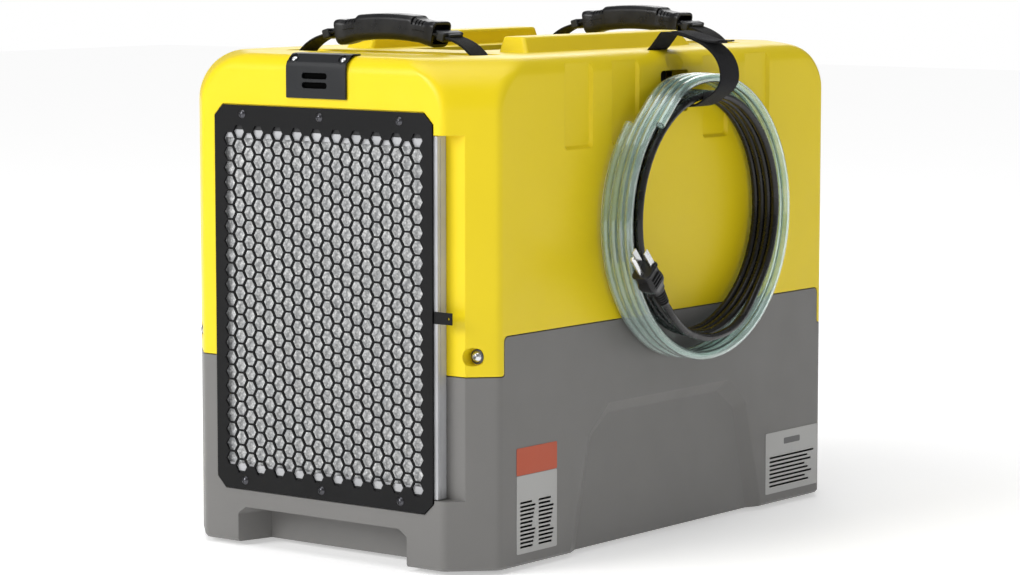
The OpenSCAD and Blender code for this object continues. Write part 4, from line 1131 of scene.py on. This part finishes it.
def strap_leg_line():
    arc_part = [grip_point(GRIP_END * i / 8) for i in range(9)]
    rest = [(66, 0, 468.1), (76, 0, 465.4), (84, 0, 462.6), (92, 0, 458.4), (99, 0, 453), (103, 0, 448.5),
            (104, 0, 445), (104, 0, 431.5)]
    return [Vector((p.x, 0, p.z)) for p in arc_part] + [Vector(p) for p in rest]


def ribbon(line, width, thickness, across=(0, 1, 0)):
    """A flat strap along a line, with softened edges and UVs across and along it in metres."""
    line = smoothed(line, 4)
    half, t = width / 2, thickness / 2
    section = [(-half, -t * 0.4), (-half + t * 0.6, -t), (-half * 0.5, -t), (0, -t), (half * 0.5, -t),
               (half - t * 0.6, -t), (half, -t * 0.4), (half, t * 0.4), (half - t * 0.6, t), (half * 0.5, t),
               (0, t), (-half * 0.5, t), (-half + t * 0.6, t), (-half, t * 0.4)]
    spots = frames_along(line, across)
    loops = [[p + rise * a + side * b for a, b in section] for p, side, rise in spots]
    bm = loft(loops)
    layer = bm.loops.layers.uv.new("weave")
    bm.verts.index_update()
    run = [0.0]
    for a, b in zip(line, line[1:]):
        run.append(run[-1] + (b - a).length)
    size = len(section)
    for face in bm.faces:
        for corner in face.loops:
            index = corner.vert.index
            corner[layer].uv = (section[index % size][0] * MM, run[min(index // size, len(run) - 1)] * MM)
    return bm


def handle_collar():
    """A slotted keeper that grips the webbing beside the cuff."""
    plate = block((-4.2, -14.4, -4.4), (4.4, 14.4, 4.4), 1.6, 3)
    wedge = block((2.5, -9, 0.5), (7.6, 9, 3.8), 1.2, 3)
    neck = block((-9.5, -9.6, -3.4), (-3.5, 9.6, 3.6), 1.2, 3)
    slot = block((-14, -12.9, -1.25), (14, 12.9, 1.25))
    return carved(plate, ("+", wedge), ("+", neck), ("-", slot))


def handle(end, y):
    body = end + "_handle"
    place = Matrix.Translation((0, y, 0))
    add(end + "_grip", moved(handle_grip(), place), body, "grip", [body + "_grip"], 28)
    line = strap_leg_line()
    whole = [Vector((-p.x, p.y, p.z)) for p in line[:0:-1]] + line
    add(end + "_webbing", moved(ribbon(whole, 25, 2), place), body, "webbing", [body + "_strap"],
        40)
    spot = Matrix.Translation((67.5, 0, 467.7)) @ Matrix.Rotation(math.radians(15), 4, "Y")
    collars = mirrored(lambda: moved(handle_collar(), spot))
    add(end + "_collars", moved(collars, place), body, "satin_black", [body + "_collars"])
    keep(body + "_stops", "sheet")


# ---------------------------------------------------------------- coil strap
LOOP = [(157, 425), (157, 449), (161.5, 455.5), (167, 462), (171.4, 467.2), (173.6, 468.2), (179, 468.0),
        (190, 467.3), (200, 465.2), (213, 461.0), (223, 455.8), (231.5, 448.8), (236.8, 440.5), (238.8, 432),
        (237.9, 423.8), (232.3, 415.9), (223.6, 410.2), (214, 404.3), (206, 402), (195, 401.3), (180, 401.2),
        (165, 401.4), (160, 403), (157.6, 407), (157, 414)]


def coil_strap():
    """Hook-and-loop strap: out through the deck, round the coils and back through the side wall."""
    y = sum(STRAP_Y) / 2
    width = STRAP_Y[1] - STRAP_Y[0]
    line = [(x, y, z) for x, z in LOOP]
    loop = ribbon(line + [line[0]], width, 1.9)
    tail = [(184, y, 469.4), (190, y, 469.0), (200, y, 466.9), (208, y, 464.7), (214, y, 463.0),
            (222, y, 461.8),
            (229, y, 461.2), (234.3, y, 461.7)]
    nicks = [prism([(236, a), (236, a + 5), (230.5 + b, a + 2.6)], 455, 468, "z")
             for a, b in ((-11, 0.8), (-4.5, 2.2), (2.5, 0), (10, 1.6))]
    flap = carved(ribbon(tail, width - 1, 1.5), *[("-", nick) for nick in nicks])
    add("hook_strap", joined(loop, flap), "cabinet", "hook", ["coil_strap"], 40)
    dome = [(0.01, -0.8), (3.0, -0.8), (3.0, 0.2), (2.4, 0.9), (1.2, 1.2), (0.01, 1.3)]
    rivet = moved(lathe(dome, 24), at(217.6, STRAP_Y[0] + 6, 407.4, -31, "Y"))
    add("strap_rivet", rivet, "cabinet", "zinc")


# ---------------------------------------------------------------- controls
def controls():
    low, high = cad_box("control_panel")
    buttons = ["power_button", "mode_button", "up_button", "down_button"]
    window_low, window_high = cad_box("display_window")
    plate = block(low, high, 0.6, 2)
    cuts = [("-", block((window_low.x - 0.2, window_low.y - 0.2, low.z + 1),
                        (window_high.x + 0.2, window_high.y + 0.2, high.z + 3), 0))]
    rings = []
    for name in buttons:
        a, b = cad_box(name)
        y = (a.y + b.y) / 2
        cuts.append(("-", rod(5.4, low.z - 1, high.z + 2, 40, (0, y, 0))))
        rings.append(lathe([(7.2, high.z - 0.1), (8.4, high.z - 0.1), (8.2, high.z + 0.25),
                            (7.4, high.z + 0.25)], 48,
                           (0, y, 0)))
    add("panel_plate", carved(plate, *cuts), "cabinet", "panel", ["control_panel"])
    add("panel_rings", joined(*rings), "cabinet", "pale_button")
    add("panel_window", block(window_low, (window_high.x, window_high.y, window_high.z + 0.1), 0.5, 2),
        "cabinet",
        "smoked", ["display_window"])
    for name in buttons:
        a, b = cad_box(name)
        y, top = (a.y + b.y) / 2, b.z
        cap = lathe([(0.01, a.z), (4.95, a.z), (5.0, top - 1.3), (4.8, top - 0.75), (4.1, top - 0.35),
                     (2.6, top - 0.3),
                     (1.2, top - 0.45), (0.01, top - 0.5)], 40, (0, y, 0))
        red = name == "power_button"
        add(name + "_cap", cap, name, "red_button" if red else "pale_button",
            [name], 40)
    keep("control_board", "circuit")


def labels():
    """Two plain stick-on labels: bands and rules only, with no lettering."""
    x = HALF_W

    def sticker(y0, y1, z0, z1, lift=0.35):
        outline = rounded([(y0, z0), (y1, z0), (y1, z1), (y0, z1)], 1.5, 4)
        return prism(outline, x, x + lift, "x")

    papers = [sticker(-236, -177, 14, 84), sticker(163, 256, 13.3, 73.6)]
    add("label_papers", joined(*papers), "cabinet", "label_paper", ["side_labels"])
    add("label_band", sticker(-236, -177, 84.4, 108.8), "cabinet", "label_orange")
    rules = []
    for column, (a, b) in enumerate(((-231, -209), (-204, -182))):
        rules += [sticker(a, b - (k * 7 + column * 5) % 6, 77 - 3.6 * k, 78.2 - 3.6 * k, 0.37)
                  for k in range(5, 17)]
    rules += [sticker(170, 249 - (k * 11) % 17, 48 - 4.0 * k, 49.2 - 4.0 * k, 0.37) for k in range(8)]
    rules += [sticker(195, 224, 60, 66, 0.37)]
    add("label_rules", joined(*rules), "cabinet", "label_ink")


# ---------------------------------------------------------------- outlet, fan and the circuit inside
def rear_fan():
    keep("outlet_grille", "black")
    low, high = cad_box("fan_impeller")
    y0, y1 = low.y, high.y
    mid = (y0 + y1) / 2
    blades = []
    for k in range(7):
        rows = []
        for i in range(9):
            r = 31 + (high.x - 32) * i / 8
            pitch = math.radians(34 - 14 * i / 8)
            chord = 25 + 13 * i / 8
            sweep_back = math.radians(9 * (i / 8) ** 1.5)
            loop = []
            for s, thick in ((-1, 0.2), (-0.5, 1.0), (0, 1.25), (0.5, 1.0), (1, 0.2), (0.5, -0.5),
                             (0, -0.6), (-0.5, -0.4)):
                along = s * chord
                bow = 2.2 * (1 - s * s)
                a = along * math.cos(pitch) / r + sweep_back
                loop.append((r * math.sin(a), mid + along * math.sin(pitch) * 0.55 + thick + bow - 1,
                             r * math.cos(a)))
            rows.append(loop)
        blade = loft(rows)
        blades.append(moved(blade, Matrix.Rotation(2 * math.pi * k / 7, 4, "Y")))
    hub = lathe([(5, y0 + 12), (30, y0 + 12), (31, y0 + 1.5), (32.5, y0), (33.6, y0 + 1.2), (34, y1 - 4),
                 (31.5, y1 - 1),
                 (22, y1 - 0.2), (5, y1)], 64, (0, 0, 0), "y")
    add("fan_rotor", moved(joined(hub, *blades), Matrix.Translation((0, 0, FAN_Z))), "fan", "blade",
        ["fan_impeller"], 40)
    keep("fan_shaft", "steel")
    keep("fan_bulkhead", "sheet")
    motor_low, motor_high = cad_box("fan_motor")
    a, b = motor_low.y + 5, motor_high.y - 6
    can = lathe([(5.06, a - 5), (12, a - 5), (14, a - 3), (14, a), (38, a), (43, a + 4), (43.8, a + 7),
                 (43.8, b - 7),
                 (43, b - 4), (38, b), (14, b), (14, b + 4), (12, b + 6), (5.06, b + 6)], 64, (0, 0, FAN_Z),
                "y")
    add("motor_can", can, "cabinet", "motor", ["fan_motor"])
    keep("motor_bracket", "sheet")


def fin_pack(name, node):
    low, high = cad_box(node)
    plates = []
    count = 90
    for i in range(count):
        x = low.x + (high.x - low.x - 0.3) * i / (count - 1)
        plates.append(block((x, low.y, low.z), (x + 0.3, high.y, high.z)))
    add(name, joined(*plates), "cabinet", "fins", [node], weighted=False)


def inside():
    fin_pack("cold_fins", "evaporator_fins")
    fin_pack("warm_fins", "condenser_fins")
    finishes = {
        "evaporator_tubes": "copper", "condenser_tubes": "copper", "refrigerant_lines": "copper",
        "filter_drier": "copper", "coil_end_plates": "sheet", "drain_pan": "black", "compressor": "enamel",
        "compressor_grommets": "rubber", "compressor_bolts": "zinc", "accumulator": "enamel",
                "pump_tank": "tank",
        "pump_float": "white", "pump_motor": "motor", "pump_hose": "vinyl", "run_capacitor": "can",
        "drain_outlet": "white"}
    for node, finish in finishes.items():
        keep(node, finish)


def cord_gland():
    low, high = cad_box("cord_gland")
    centre_y = (low.y + high.y) / 2
    plate = block((low.x, low.y, low.z), (low.x + 3, high.y, high.z), 0.8, 2)
    hood = block((low.x + 1, low.y + 1.5, low.z + 2), (high.x - 1, high.y - 1.5, high.z - 6), 3, 4)
    rings = [(0.01, high.z - 10), (7, high.z - 10)]
    for k in range(3):
        z = high.z - 9 + 2.6 * k
        rings += [(6.9 - 0.3 * k, z + 0.4), (5.6 - 0.2 * k, z + 0.7), (5.6 - 0.2 * k, z + 1.6),
                  (6.7 - 0.3 * k, z + 1.9)]
    rings += [(5.2, high.z), (0.01, high.z)]
    relief = lathe(rings, 28, (HALF_W + 9, centre_y, 0))
    add("gland_hood", joined(plate, hood, relief), "cabinet", "satin_black", ["cord_gland"])


def floor():
    bm = new_mesh([(-9000, -9000, -0.6), (9000, -9000, -0.6), (9000, 9000, -0.6), (-9000, 9000, -0.6)],
                  [(0, 1, 2, 3)])
    obj = holder(bm, "floor")
    obj.data.transform(Matrix.Scale(MM, 4))
    obj.data.materials.append(paint("floor"))


look_camera()
cord_and_hose(power_plug())
studio()
upper_shell()
base_shell()
bolts_and_screws()
feet()
intake()
sensor_cover()
handle("front", -HANDLE_Y)
handle("rear", HANDLE_Y)
coil_strap()
controls()
labels()
rear_fan()
inside()
cord_gland()
floor()
